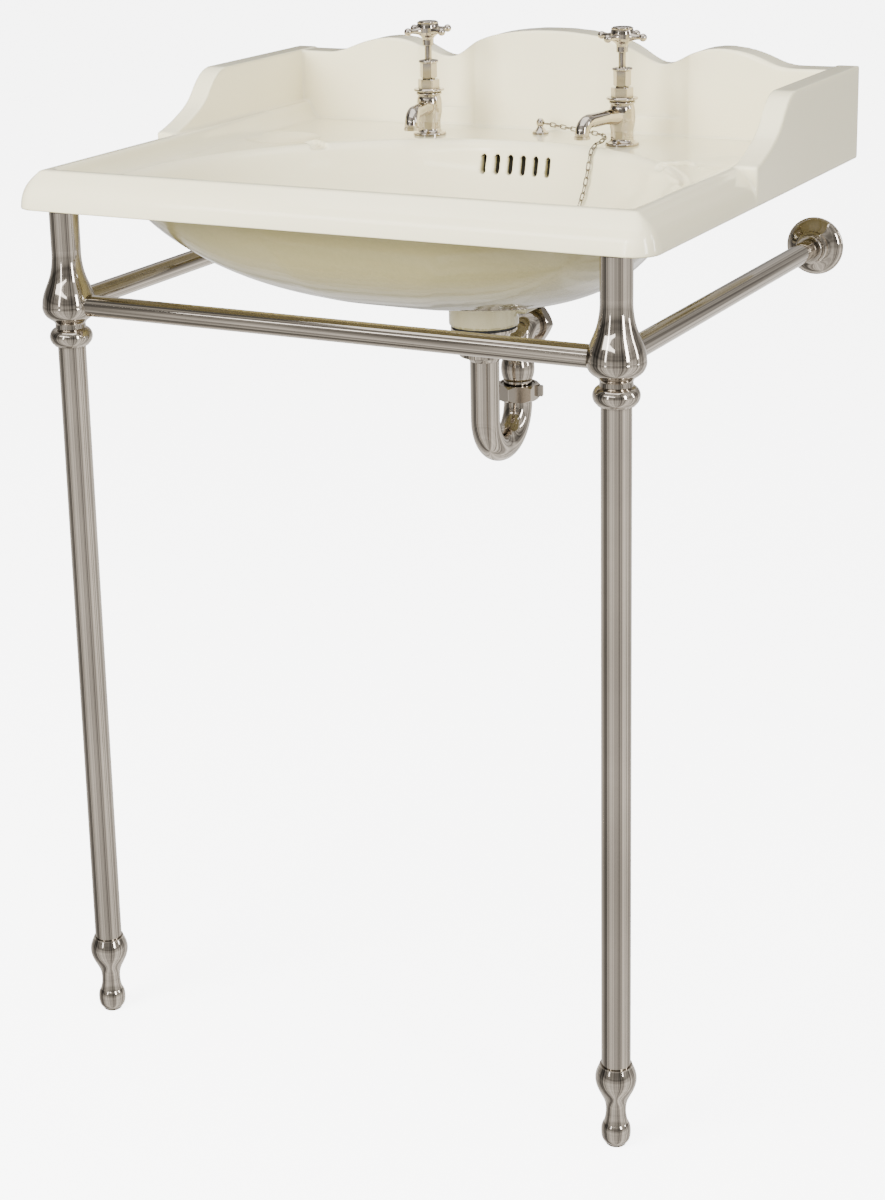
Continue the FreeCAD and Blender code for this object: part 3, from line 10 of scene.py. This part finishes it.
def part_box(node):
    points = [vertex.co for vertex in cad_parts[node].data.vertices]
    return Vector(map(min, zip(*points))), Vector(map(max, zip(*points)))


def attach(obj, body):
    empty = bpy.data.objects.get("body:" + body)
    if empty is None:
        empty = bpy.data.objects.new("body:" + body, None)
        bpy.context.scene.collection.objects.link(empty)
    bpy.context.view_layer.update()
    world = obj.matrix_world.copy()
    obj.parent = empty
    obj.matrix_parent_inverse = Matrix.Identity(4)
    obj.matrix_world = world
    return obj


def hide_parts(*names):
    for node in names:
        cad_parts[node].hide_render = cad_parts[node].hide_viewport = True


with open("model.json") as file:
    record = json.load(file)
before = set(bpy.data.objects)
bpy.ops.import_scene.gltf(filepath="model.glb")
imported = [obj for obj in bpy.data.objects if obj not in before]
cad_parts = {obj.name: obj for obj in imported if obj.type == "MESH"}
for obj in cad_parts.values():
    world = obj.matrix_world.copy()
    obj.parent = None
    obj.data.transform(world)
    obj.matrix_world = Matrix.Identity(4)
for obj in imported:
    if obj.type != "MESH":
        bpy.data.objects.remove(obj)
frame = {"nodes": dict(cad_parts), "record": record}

MM = 0.001
FULL_TURN = 2 * math.pi
WHITE = (1.0, 1.0, 1.0)
ROOT = "stand_and_basin"
nodes = frame["nodes"]
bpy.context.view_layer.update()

# ---------------------------------------------------------------- measured from the frame
WALL_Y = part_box("basin")[1].y
FLOOR_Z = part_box("left_leg_foot")[0].z
UNDERSIDE_Z = FLOOR_Z + 890.0 * MM     # flat underside of the slab

# ---------------------------------------------------------------- camera, found from the photograph
CAMERA_PLACE = Vector((1.1121, WALL_Y - 2.4539, 1.3133))
CAMERA_YAW = math.radians(29.472)      # turned to the left of straight at the wall
CAMERA_PITCH = math.radians(15.487)    # looking down
CAMERA_ROLL = math.radians(-1.67)
PHOTO_SIZE = (885, 1200)
FOCAL_PX = 2381.4
CENTRE_PX = (360.0, 420.0)             # where the lens axis meets the picture
SENSOR = 36.0

# ---------------------------------------------------------------- colours
CERAMIC_WHITE = (0.86, 0.80, 0.56)
BUFF_GLAZE_AND_SHADE = (0.39, 0.345, 0.17)    # thin yellowish glaze under the slab and outside the bowl, darkened as painted shade
GLAZE_SHADE = (0.50, 0.44, 0.27)       # in the glaze's creases
# Painted shadow inside the overflow duct.
DUCT_SHADOW = (0.035, 0.032, 0.022)
NICKEL = (0.565, 0.51, 0.44)
CHAIN_NICKEL = (0.42, 0.375, 0.32)
BRASS = (0.62, 0.46, 0.22)
STEEL = (0.35, 0.35, 0.36)
METAL_CREASE_SHADE = (0.11, 0.095, 0.075)         # painted shade in the metal's creases
RUBBER_BLACK = (0.02, 0.02, 0.02)
PACKING = (0.55, 0.50, 0.40)
FLOOR_COLOUR = (0.85, 0.85, 0.85)

# ---------------------------------------------------------------- surfaces
# Noise textures: scale and detail.
CLOUDS = (5.0, 4.0)
SPECKS = (220.0, 2.0)
RIPPLES = (28.0, 2.0)
SMEARS = (22.0, 5.0)
BUFFING = (240.0, 3.0)
FINE_DUST = (300.0, 3.0)
COARSE_DUST = (90.0, 3.0)
FLOOR_CLOUDS = (3.0, 4.0)
NOISE_ROUGHNESS = 0.55

# Mottling: noise at which it starts and is full, its strength, and the second tone's brightness.
WHITE_MOTTLE = (0.3, 0.7, 0.35, 0.955)
UNDER_MOTTLE = (0.35, 0.7, 0.3, 0.86)
METAL_MOTTLE = (0.35, 0.7, 1.0, 0.92)
DUST_MOTTLE = (0.3, 0.7, 1.0, 1.15)
DUST_LIFT = 0.005                      # keeps the dust visible on black
FLOOR_MOTTLE = 0.985                   # brightness of its second tone

# Painted shade in creases: reach, openness below which it shows, and strength. It is full CREASE_SPAN
# below that.
GLAZE_CREASES = (7 * MM, 0.8, 0.7)
METAL_CREASES = (6 * MM, 0.85, 0.9)
CREASE_SPAN = 0.45
CREASE_SAMPLES = 6

# Below the slab's underside, where a face looks down or away from the middle, the glaze takes the darker
# thin-glaze colour: partly its own tone, partly painted shade.
BUFF_AND_SHADE_HEIGHTS = (UNDERSIDE_Z + 1.6 * MM, UNDERSIDE_Z + 0.6 * MM)
BUFF_AND_SHADE_DOWN = (0.12, -0.12)              # upward part of the normal
BUFF_AND_SHADE_OUTWARD = (0.01, 0.05)            # normal dotted with the way from the upright axis, in metres
LEVEL_PART = (1.0, 1.0, 0.0)           # leaves the height out of a place

# Relief: strength and distance of the bump.
GLAZE_RELIEF = (0.02, 0.002)
METAL_RELIEF = (0.006, 0.0006)

# Roughness: least and most.
GLAZE_ROUGHNESS = (0.10, 0.15)
NICKEL_ROUGHNESS = (0.035, 0.10)
CHAIN_ROUGHNESS = (0.08, 0.18)
BRASS_ROUGHNESS = (0.22, 0.34)
STEEL_ROUGHNESS = (0.28, 0.4)
GLAZE_NOISE = (0.3, 0.7)               # noise at which the glaze is least and most rough
METAL_NOISE = (0.3, 0.75)
GLAZE_COAT, GLAZE_COAT_ROUGHNESS, GLAZE_IOR = 0.6, 0.05, 1.52
GLAZE_SCATTER, GLAZE_SCATTER_RADIUS = 0.04, (0.004, 0.003, 0.002)
RUBBER_ROUGHNESS, PACKING_ROUGHNESS, DUCT_ROUGHNESS, FLOOR_ROUGHNESS = 0.7, 0.95, 0.9, 0.95
FLOOR_SPECULAR = 0.1
FLOOR_GLOW = 6.0                       # keeps the floor pale out to the horizon
FLOOR_REACH = 30.0

# ---------------------------------------------------------------- shapes
GLAZE_SOFTNESS = 1.7 * MM              # size of the remesh that rounds the ceramic's edges
GLAZE_FLOW = 3                         # smoothing passes after it
GLAZE_FLOW_FACTOR = 0.5
CERAMIC_EDGE = 50.0                    # degrees from which an edge is shaded sharp
METAL_EDGE = 32.0

# Overflow slots, as in the part.
SLOT_COUNT = 6
SLOT_PITCH = 15.4 * MM
SLOT_R = 2.75 * MM
SLOT_TOP_Z = 893.0 * MM
SLOT_HEIGHT = 21.5 * MM
SLOT_Y = (WALL_Y - 160.0 * MM, WALL_Y - 106.0 * MM)
SLOT_ARC_STEPS = 14

# Faces in this box get painted shadow, a near-black for the duct's shaded inside, and so does a patch of
# its outside, at the back.
DUCT_HALF = 46.0 * MM
DUCT_FRONT_Y = WALL_Y - 119.0 * MM
DUCT_BACK_Y = WALL_Y - 100.0 * MM
DUCT_TOP_Z = SLOT_TOP_Z + 3 * MM

# Chain, from the part's own route.
CHAIN_POINTS = [
    Vector((x * MM, WALL_Y - back * MM, z * MM)) for x, back, z in [
        (7.0, 62.0, 920.0), (40.0, 76.0, 918.6), (70.0, 88.5, 917.4), (93.0, 98.5, 916.6),
        (99.2, 107.5, 915.2), (98.2, 117.5, 912.8), (96.8, 127.0, 911.6), (96.0, 134.5, 909.8),
        (95.6, 140.0, 904.5), (95.3, 143.4, 896.0), (94.8, 149.0, 878.0), (93.6, 157.0, 860.0),
        (91.0, 166.5, 843.0), (86.5, 176.0, 826.0), (79.0, 184.5, 811.0), (68.0, 191.5, 799.5),
        (54.0, 197.5, 792.6), (40.0, 202.0, 790.6), (25.0, 205.6, 790.6), (9.5, 208.0, 793.0),
    ]
]
CHAIN_RESOLUTION = 12                  # spline steps between two points
CHAIN_PITCH = 8.35 * MM
LINK_HALF_LENGTH = 4.9 * MM            # centre line of the wire
LINK_HALF_WIDTH = 2.1 * MM
LINK_WIRE_R = 0.68 * MM
LINK_AROUND, LINK_SECTION = 28, 10     # points round a link and round its wire
NEARLY_UPRIGHT = 0.2                   # level part of the chain's direction

# ---------------------------------------------------------------- light
# Room light by azimuth, in degrees to the right of the photographer, and by height of direction.
BAND_CENTRE = 0.5 + CAMERA_YAW / FULL_TURN
ROOM_BANDS = [
    (-165, 0.95), (-135, 0.60), (-114, 0.36), (-97, 0.14), (-84, 0.22), (-72, 0.50), (-60, 0.75),
    (-46, 0.85), (-34, 0.70), (-20, 0.75), (-8, 0.58), (4, 0.46), (18, 0.40), (30, 0.42), (40, 0.70),
    (52, 1.10), (70, 0.92), (90, 0.85), (103, 0.55), (110, 0.40), (124, 0.85), (150, 1.05),
]
ROOM_HEIGHTS = [
    (-1.0, 1.1), (-0.6, 1.2), (-0.24, 1.1), (-0.05, 0.75),
    (0.1, 0.35), (0.3, 0.45), (0.55, 0.8), (1.0, 0.7),
]
BAND_STREAKS = (42.0, 0.45, 1.5)       # scale of fine upright streaks over one turn, darkest, lightest
LEVEL_STREAKS = (13.0, 0.82, 1.18)     # the same over height
STREAK_DETAIL = 4.0
STREAK_NOISE = (0.33, 0.67)            # noise at which a streak is darkest and lightest
ROOM_TINT = (1.15, 1.11, 1.06)
LIGHT_TARGET = (0.0, 0.0, 0.85)
STRIP_DISTANCE, STRIP_Z, STRIP_HEIGHT = 3.2, 1.6, 1.7


def strip(name, degrees, width, watts):
    """Row of LIGHTS for an upright strip, at degrees to the right of the photographer."""
    angle = CAMERA_YAW + math.radians(degrees)
    place = (STRIP_DISTANCE * math.sin(angle), -STRIP_DISTANCE * math.cos(angle), STRIP_Z)
    return name, place, width, STRIP_HEIGHT, watts, WHITE, True


# Name, place, width, height, watts, colour, and whether glaze and nickel reflect it. Key and fill
# shade the ceramic and leave no patch in the glaze or the nickel.
LIGHTS = [
    ("key", (-1.3, -3.1, 1.9), 2.0, 1.9, 290.0, (1.0, 0.985, 0.96), False),
    ("fill", (1.5, -3.0, 2.4), 1.8, 1.8, 90.0, (1.0, 0.99, 0.97), False),
    ("top", (0.0, -0.3, 3.4), 3.0, 3.0, 60.0, WHITE, True),
    strip("strip_near", 36, 0.5, 46.0),
    strip("strip_far", 76, 0.35, 24.0),
    strip("strip_left", -42, 0.25, 12.0),
    ("bar", (-0.5, -3.2, 2.4), 3.4, 0.3, 16.0, WHITE, True),
]


# ---------------------------------------------------------------- shader nodes
def feed(tree, socket, value):
    """Link a socket to another one, or give it a plain value."""
    if isinstance(value, bpy.types.NodeSocket):
        tree.links.new(value, socket)
    else:
        socket.default_value = value


def calculate(tree, operation, *values):
    """Math node; the values are sockets or numbers."""
    node = tree.nodes.new("ShaderNodeMath")
    node.operation = operation
    for socket, value in zip(node.inputs, values):
        feed(tree, socket, value)
    return node.outputs["Value"]


def calculate_vector(tree, operation, a, b):
    """Vector math node; a and b are sockets or vectors."""
    node = tree.nodes.new("ShaderNodeVectorMath")
    node.operation = operation
    feed(tree, node.inputs[0], a)
    feed(tree, node.inputs[1], b)
    return node.outputs["Value" if operation == "DOT_PRODUCT" else "Vector"]


def components(tree, vector):
    """The x, y and z of a vector."""
    node = tree.nodes.new("ShaderNodeSeparateXYZ")
    tree.links.new(vector, node.inputs["Vector"])
    return node.outputs


def ramp(tree, value, low, high, out_low, out_high):
    """A value mapped from one range to another."""
    node = tree.nodes.new("ShaderNodeMapRange")
    for name, number in (
        ("From Min", low), ("From Max", high), ("To Min", out_low), ("To Max", out_high),
    ):
        node.inputs[name].default_value = number
    tree.links.new(value, node.inputs["Value"])
    return node.outputs["Result"]


def noise(tree, vector, scale, detail):
    """Noise texture's factor."""
    node = tree.nodes.new("ShaderNodeTexNoise")
    node.inputs["Scale"].default_value = scale
    node.inputs["Detail"].default_value = detail
    node.inputs["Roughness"].default_value = NOISE_ROUGHNESS
    tree.links.new(vector, node.inputs["Vector"])
    return node.outputs["Fac"]


def streaks(tree, value, scale, darkest, lightest):
    """Factor that varies in fine streaks along a value."""
    node = tree.nodes.new("ShaderNodeTexNoise")
    node.noise_dimensions = "1D"
    node.inputs["Scale"].default_value = scale
    node.inputs["Detail"].default_value = STREAK_DETAIL
    tree.links.new(value, node.inputs["W"])
    return ramp(tree, node.outputs["Fac"], *STREAK_NOISE, darkest, lightest)


def mix_colour(tree, factor, a, b, blend="MIX"):
    """Two colours mixed by a factor. a and b are colours or sockets."""
    node = tree.nodes.new("ShaderNodeMix")
    node.data_type = "RGBA"
    node.blend_type = blend
    feed(tree, node.inputs["Factor"], factor)
    for name, colour in (("A", a), ("B", b)):
        socket = next(s for s in node.inputs if s.name == name and s.type == "RGBA")
        feed(tree, socket, (*colour, 1.0) if isinstance(colour, tuple) else colour)
    return next(s for s in node.outputs if s.type == "RGBA")


def toned(colour, brightness, lift=0.0):
    """A colour made lighter or darker."""
    return tuple(min(c * brightness + lift, 1.0) for c in colour)


def mottled(tree, value, colour, start, full, strength, brightness, lift=0.0):
    """A colour that turns to its own second tone as a noise rises."""
    factor = ramp(tree, value, start, full, 0.0, strength)
    return mix_colour(tree, factor, colour, toned(colour, brightness, lift))


def creases(tree, reach, open_share, strength):
    """Factor for painted shade: 0 on open surface, rising to a strength in inner corners."""
    node = tree.nodes.new("ShaderNodeAmbientOcclusion")
    node.samples = CREASE_SAMPLES
    node.inputs["Distance"].default_value = reach
    return ramp(tree, node.outputs["AO"], open_share, open_share - CREASE_SPAN, 0.0, strength)


def relief(tree, shader, height, strength, distance):
    """Give a shader a bumpy surface."""
    bump = tree.nodes.new("ShaderNodeBump")
    bump.inputs["Strength"].default_value = strength
    bump.inputs["Distance"].default_value = distance
    tree.links.new(height, bump.inputs["Height"])
    tree.links.new(bump.outputs["Normal"], shader.inputs["Normal"])


def colour_stops(tree, value, stops, tint):
    """Colour ramp over a value, from pairs of position and level."""
    node = tree.nodes.new("ShaderNodeValToRGB")
    node.color_ramp.interpolation = "EASE"
    elements = node.color_ramp.elements
    while len(elements) > 1:
        elements.remove(elements[-1])
    elements[0].position = stops[0][0]
    for position, level in stops[1:]:
        elements.new(position)
    for element, (position, level) in zip(elements, stops):
        element.color = (*(level * part for part in tint), 1.0)
    tree.links.new(value, node.inputs["Fac"])
    return node.outputs["Color"]


# ---------------------------------------------------------------- materials
def new_material(name):
    """Node material with a Principled shader; returns the material, its tree, shader and coordinates."""
    material = bpy.data.materials.new(name)
    material.use_nodes = True
    tree = material.node_tree
    shader = next(n for n in tree.nodes if n.type == "BSDF_PRINCIPLED")
    place = tree.nodes.new("ShaderNodeTexCoord")
    return material, tree, shader, place.outputs["Object"]


def glaze(name):
    """Ivory glazed fireclay: thick glossy glaze above, with painted shade in its creases; thin yellowish
    glaze below and outside the bowl, darkened there as painted shade.
    """
    material, tree, shader, vector = new_material(name)
    cloud = noise(tree, vector, *CLOUDS)
    speck = noise(tree, vector, *SPECKS)
    upper = mottled(tree, cloud, CERAMIC_WHITE, *WHITE_MOTTLE)
    under = mottled(tree, speck, BUFF_GLAZE_AND_SHADE, *UNDER_MOTTLE)
    # Painted shade, partly the underside's own tone: faces below the slab that look down or outward get
    # the darker thin-glaze colour.
    below = ramp(tree, components(tree, vector)["Z"], *BUFF_AND_SHADE_HEIGHTS, 0.0, 1.0)
    normal = tree.nodes.new("ShaderNodeNewGeometry").outputs["True Normal"]
    down = ramp(tree, components(tree, normal)["Z"], *BUFF_AND_SHADE_DOWN, 0.0, 1.0)
    from_axis = calculate_vector(tree, "MULTIPLY", vector, LEVEL_PART)
    away = calculate_vector(tree, "DOT_PRODUCT", from_axis, normal)
    outward = ramp(tree, away, *BUFF_AND_SHADE_OUTWARD, 0.0, 1.0)
    buff_and_shade = calculate(tree, "MULTIPLY", below, calculate(tree, "MAXIMUM", down, outward))
    upper = mix_colour(tree, creases(tree, *GLAZE_CREASES), upper, GLAZE_SHADE)
    tree.links.new(mix_colour(tree, buff_and_shade, upper, under), shader.inputs["Base Color"])
    tree.links.new(ramp(tree, cloud, *GLAZE_NOISE, *GLAZE_ROUGHNESS), shader.inputs["Roughness"])
    shader.inputs["Coat Weight"].default_value = GLAZE_COAT
    shader.inputs["Coat Roughness"].default_value = GLAZE_COAT_ROUGHNESS
    shader.inputs["IOR"].default_value = GLAZE_IOR
    shader.inputs["Subsurface Weight"].default_value = GLAZE_SCATTER
    shader.inputs["Subsurface Radius"].default_value = GLAZE_SCATTER_RADIUS
    relief(tree, shader, noise(tree, vector, *RIPPLES), *GLAZE_RELIEF)
    return material


def polished(name, colour, roughness):
    """Polished metal with faint smears, painted shade in its creases, and a slightly uneven hand-buffed
    surface.
    """
    material, tree, shader, vector = new_material(name)
    smear = noise(tree, vector, *SMEARS)
    warm = mottled(tree, smear, colour, *METAL_MOTTLE)
    # Painted shade: the metal darkens in its creases.
    crease_shaded = mix_colour(tree, creases(tree, *METAL_CREASES), warm, METAL_CREASE_SHADE)
    tree.links.new(crease_shaded, shader.inputs["Base Color"])
    tree.links.new(ramp(tree, smear, *METAL_NOISE, *roughness), shader.inputs["Roughness"])
    shader.inputs["Metallic"].default_value = 1.0
    relief(tree, shader, noise(tree, vector, *BUFFING), *METAL_RELIEF)
    return material


def matt(name, colour, roughness, dust):
    """Matt material with a little grain."""
    material, tree, shader, vector = new_material(name)
    dusty = mottled(tree, noise(tree, vector, *dust), colour, *DUST_MOTTLE, DUST_LIFT)
    tree.links.new(dusty, shader.inputs["Base Color"])
    shader.inputs["Roughness"].default_value = roughness
    return material


def pale_floor():
    """Matt off-white that glows a little, so that it stays pale."""
    material, tree, shader, vector = new_material("pale floor")
    clouds = noise(tree, vector, *FLOOR_CLOUDS)
    colour = mix_colour(tree, clouds, FLOOR_COLOUR, toned(FLOOR_COLOUR, FLOOR_MOTTLE))
    tree.links.new(colour, shader.inputs["Base Color"])
    shader.inputs["Roughness"].default_value = FLOOR_ROUGHNESS
    shader.inputs["Specular IOR Level"].default_value = FLOOR_SPECULAR
    shader.inputs["Emission Color"].default_value = (*WHITE, 1.0)
    shader.inputs["Emission Strength"].default_value = FLOOR_GLOW
    return material


def paint(node, material):
    """Give a CAD node one material."""
    mesh = nodes[node].data
    mesh.materials.clear()
    mesh.materials.append(material)
    for polygon in mesh.polygons:
        polygon.use_smooth = True


glazed = glaze("glazed ceramic")
nickel = polished("polished nickel", NICKEL, NICKEL_ROUGHNESS)
chain_nickel = polished("chain nickel", CHAIN_NICKEL, CHAIN_ROUGHNESS)
brass = polished("brass", BRASS, BRASS_ROUGHNESS)
steel = polished("zinc-plated steel", STEEL, STEEL_ROUGHNESS)
rubber = matt("black rubber", RUBBER_BLACK, RUBBER_ROUGHNESS, FINE_DUST)
packing = matt("packing yarn", PACKING, PACKING_ROUGHNESS, FINE_DUST)
# Painted shadow: near-black for the duct's shaded inside.
shade = matt("painted duct shadow", DUCT_SHADOW, DUCT_ROUGHNESS, COARSE_DUST)

MATERIAL_OF_SLOT = {
    "ceramic": glazed, "nickel": nickel, "brass": brass, "rubber": rubber,
    "index": nickel, "steel": steel, "packing": packing,
}
for entry in frame["record"]["subparts"]:
    paint(entry["node"], MATERIAL_OF_SLOT[entry["material_slot"]])


# ---------------------------------------------------------------- objects
def in_scene(name, data):
    """New object in the scene."""
    obj = bpy.data.objects.new(name, data)
    bpy.context.scene.collection.objects.link(obj)
    return obj


def mesh_of(bm, name):
    """Mesh made of a bmesh, which is freed."""
    mesh = bpy.data.meshes.new(name)
    bm.to_mesh(mesh)
    bm.free()
    return mesh


def sharp_edges(obj, degrees):
    """Split hard edges, so that smooth shading stops at them."""
    split = obj.modifiers.new("edges", "EDGE_SPLIT")
    split.split_angle = math.radians(degrees)


# ---------------------------------------------------------------- softened ceramic
def slot_cutters():
    """Round-ended prisms for the overflow slots, as one object."""
    bm = bmesh.new()
    top, bottom = SLOT_TOP_Z - SLOT_R, SLOT_TOP_Z - SLOT_HEIGHT + SLOT_R
    for k in range(SLOT_COUNT):
        x = (k - (SLOT_COUNT - 1) / 2) * SLOT_PITCH
        outline = []
        for middle, start in ((top, 0.0), (bottom, math.pi)):
            for i in range(SLOT_ARC_STEPS + 1):
                angle = start + math.pi * i / SLOT_ARC_STEPS
                outline.append((x + SLOT_R * math.cos(angle), middle + SLOT_R * math.sin(angle)))
        front, back = ([bm.verts.new((px, y, pz)) for px, pz in outline] for y in SLOT_Y)
        bm.faces.new(front)
        bm.faces.new(list(reversed(back)))
        for i in range(len(outline)):
            j = (i + 1) % len(outline)
            bm.faces.new((front[j], front[i], back[i], back[j]))
    bmesh.ops.recalc_face_normals(bm, faces=bm.faces)
    return in_scene("slot_cutters", mesh_of(bm, "slot_cutters"))


def glazed_basin():
    """The cast basin with its edges rounded as a thick glaze rounds them, and the slots cut sharp."""
    work = nodes["basin"].copy()
    work.data = nodes["basin"].data.copy()
    bpy.context.scene.collection.objects.link(work)
    remesh = work.modifiers.new("glaze", "REMESH")
    remesh.mode = "VOXEL"
    remesh.voxel_size = GLAZE_SOFTNESS
    flow = work.modifiers.new("flow", "SMOOTH")
    flow.factor = GLAZE_FLOW_FACTOR
    flow.iterations = GLAZE_FLOW
    cutters = slot_cutters()
    cut = work.modifiers.new("slots", "BOOLEAN")
    cut.operation = "DIFFERENCE"
    cut.solver = "MANIFOLD"
    cut.object = cutters
    graph = bpy.context.evaluated_depsgraph_get()
    mesh = bpy.data.meshes.new_from_object(work.evaluated_get(graph))
    mesh.name = "glazed_basin"
    bpy.data.objects.remove(work)
    bpy.data.objects.remove(cutters)
    mesh.materials.clear()
    mesh.materials.append(glazed)
    mesh.materials.append(shade)
    for polygon in mesh.polygons:
        polygon.use_smooth = True
        x, y, z = polygon.center
        # Painted shadow: faces inside the duct get the near-black material.
        in_duct = abs(x) < DUCT_HALF and DUCT_FRONT_Y < y < DUCT_BACK_Y and z < DUCT_TOP_Z
        polygon.material_index = 1 if in_duct else 0
    obj = in_scene("glazed_basin", mesh)
    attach(obj, ROOT)
    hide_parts("basin")
    sharp_edges(obj, CERAMIC_EDGE)


glazed_basin()

for name in nodes:
    if name not in ("basin", "plug_chain"):
        sharp_edges(nodes[name], METAL_EDGE)


# ---------------------------------------------------------------- chain
def smooth_route(points):
    """Points read from a NURBS spline that has the route's points as its control points."""
    curve = bpy.data.curves.new("chain_route", "CURVE")
    curve.dimensions = "3D"
    curve.resolution_u = CHAIN_RESOLUTION
    spline = curve.splines.new("NURBS")
    spline.points.add(len(points) - 1)
    for target, point in zip(spline.points, points):
        target.co = (*point, 1.0)
    spline.order_u = 3
    spline.use_endpoint_u = True
    carrier = bpy.data.objects.new("chain_route", curve)
    mesh = bpy.data.meshes.new_from_object(carrier)
    result = [vertex.co.copy() for vertex in mesh.vertices]
    bpy.data.objects.remove(carrier)
    bpy.data.meshes.remove(mesh)
    bpy.data.curves.remove(curve)
    return result


def route_length(route):
    """Length along a list of points."""
    return sum((b - a).length for a, b in zip(route, route[1:]))


def at_distance(route, distance):
    """Point at a distance along a list of points."""
    for a, b in zip(route, route[1:]):
        step = (b - a).length
        if distance <= step:
            return a.lerp(b, distance / step)
        distance -= step
    return route[-1]


def link_mesh(bm, placement):
    """One round-wire link, added to a bmesh at a placement."""
    half_straight = LINK_HALF_LENGTH - LINK_HALF_WIDTH
    rings = []
    for i in range(LINK_AROUND):
        angle = FULL_TURN * i / LINK_AROUND
        c, s = math.cos(angle), math.sin(angle)
        centre = Vector((math.copysign(half_straight, c) + LINK_HALF_WIDTH * c, LINK_HALF_WIDTH * s, 0))
        outward = Vector((c, s, 0))
        ring = []
        for j in range(LINK_SECTION):
            turn = FULL_TURN * j / LINK_SECTION
            point = centre + LINK_WIRE_R * (math.cos(turn) * outward + Vector((0, 0, math.sin(turn))))
            ring.append(bm.verts.new(placement @ point))
        rings.append(ring)
    for i in range(LINK_AROUND):
        a, b = rings[i], rings[(i + 1) % LINK_AROUND]
        for j in range(LINK_SECTION):
            k = (j + 1) % LINK_SECTION
            face = bm.faces.new((a[j], b[j], b[k], a[k]))
            face.smooth = True


def make_chain():
    """Round-wire links along the route, each turned a quarter against the last."""
    route = smooth_route(CHAIN_POINTS)
    total = route_length(route)
    count = round(total / CHAIN_PITCH)
    bm = bmesh.new()
    for k in range(count):
        a = at_distance(route, total * k / count)
        b = at_distance(route, total * (k + 1) / count)
        along = (b - a).normalized()
        across = Vector((0, 0, 1)).cross(along)
        if across.length < NEARLY_UPRIGHT:
            across = Vector((1, 0, 0)).cross(along)
        across.normalize()
        up = along.cross(across)
        if k % 2:
            across, up = up, -across
        turn = Matrix((along, across, up)).transposed().to_4x4()
        link_mesh(bm, Matrix.Translation((a + b) / 2) @ turn)
    mesh = mesh_of(bm, "plug_chain_links")
    mesh.materials.append(chain_nickel)
    return in_scene("plug_chain_links", mesh), route, total


chain, chain_route, chain_length = make_chain()
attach(chain, ROOT)
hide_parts("plug_chain")


# ---------------------------------------------------------------- floor, light, camera
def floor():
    """Plain pale floor."""
    mesh = bpy.data.meshes.new("floor")
    corners = ((-1, -1), (1, -1), (1, 1), (-1, 1))
    mesh.from_pydata([(x * FLOOR_REACH, y * FLOOR_REACH, FLOOR_Z) for x, y in corners], [], [(0, 1, 2, 3)])
    mesh.materials.append(pale_floor())
    obj = in_scene("floor", mesh)
    obj.visible_glossy = False         # the nickel reflects the room instead
    obj.visible_diffuse = False        # its glow doesn't light the bowl from below


def aim(obj, place, target):
    """Put a light at a place, facing a target."""
    obj.location = place
    obj.rotation_mode = "QUATERNION"
    obj.rotation_quaternion = (Vector(target) - Vector(place)).to_track_quat("-Z", "Y")


def area_light(name, place, width, height, watts, colour, glossy):
    """Soft rectangular light that faces the object."""
    data = bpy.data.lights.new(name, "AREA")
    data.shape = "RECTANGLE"
    data.size, data.size_y = width, height
    data.energy = watts
    data.color = colour
    obj = in_scene(name, data)
    obj.visible_glossy = glossy
    aim(obj, place, LIGHT_TARGET)


def room():
    """World round the object: upright bands of light and dark that streak the nickel."""
    world = bpy.data.worlds.new("studio")
    bpy.context.scene.world = world
    world.use_nodes = True
    tree = world.node_tree
    background = next(n for n in tree.nodes if n.type == "BACKGROUND")
    direction = components(tree, tree.nodes.new("ShaderNodeTexCoord").outputs["Generated"])
    azimuth = calculate(tree, "ARCTAN2", direction["X"], calculate(tree, "MULTIPLY", direction["Y"], -1.0))
    turn = calculate(tree, "MULTIPLY_ADD", azimuth, 1 / FULL_TURN, 0.5)
    height = calculate(tree, "MULTIPLY_ADD", direction["Z"], 0.5, 0.5)
    stops = sorted(((BAND_CENTRE + degrees / 360) % 1.0, level) for degrees, level in ROOM_BANDS)
    edge = (stops[0][1] + stops[-1][1]) / 2
    bands = colour_stops(tree, turn, [(0.0, edge)] + stops + [(1.0, edge)], ROOM_TINT)
    levels = colour_stops(tree, height, [((z + 1) / 2, level) for z, level in ROOM_HEIGHTS], WHITE)
    tree.links.new(mix_colour(tree, 1.0, bands, levels, "MULTIPLY"), background.inputs["Color"])
    upright, level = streaks(tree, turn, *BAND_STREAKS), streaks(tree, height, *LEVEL_STREAKS)
    tree.links.new(calculate(tree, "MULTIPLY", upright, level), background.inputs["Strength"])


def camera():
    """Camera at the photographer's place, with the lens shift that the photograph's crop gives."""
    data = bpy.data.cameras.new("photo camera")
    data.sensor_width = SENSOR
    longest = max(PHOTO_SIZE)
    data.lens = SENSOR * FOCAL_PX / longest
    data.shift_x = (PHOTO_SIZE[0] / 2 - CENTRE_PX[0]) / longest
    data.shift_y = (CENTRE_PX[1] - PHOTO_SIZE[1] / 2) / longest
    obj = in_scene("photo camera", data)
    obj.location = CAMERA_PLACE
    yaw = Matrix.Rotation(CAMERA_YAW, 4, "Z")
    pitch = Matrix.Rotation(math.pi / 2 - CAMERA_PITCH, 4, "X")
    roll = Matrix.Rotation(CAMERA_ROLL, 4, "Z")
    obj.rotation_mode = "QUATERNION"
    obj.rotation_quaternion = (yaw @ pitch @ roll).to_quaternion()
    bpy.context.scene.camera = obj


floor()
room()
for row in LIGHTS:
    area_light(*row)
camera()
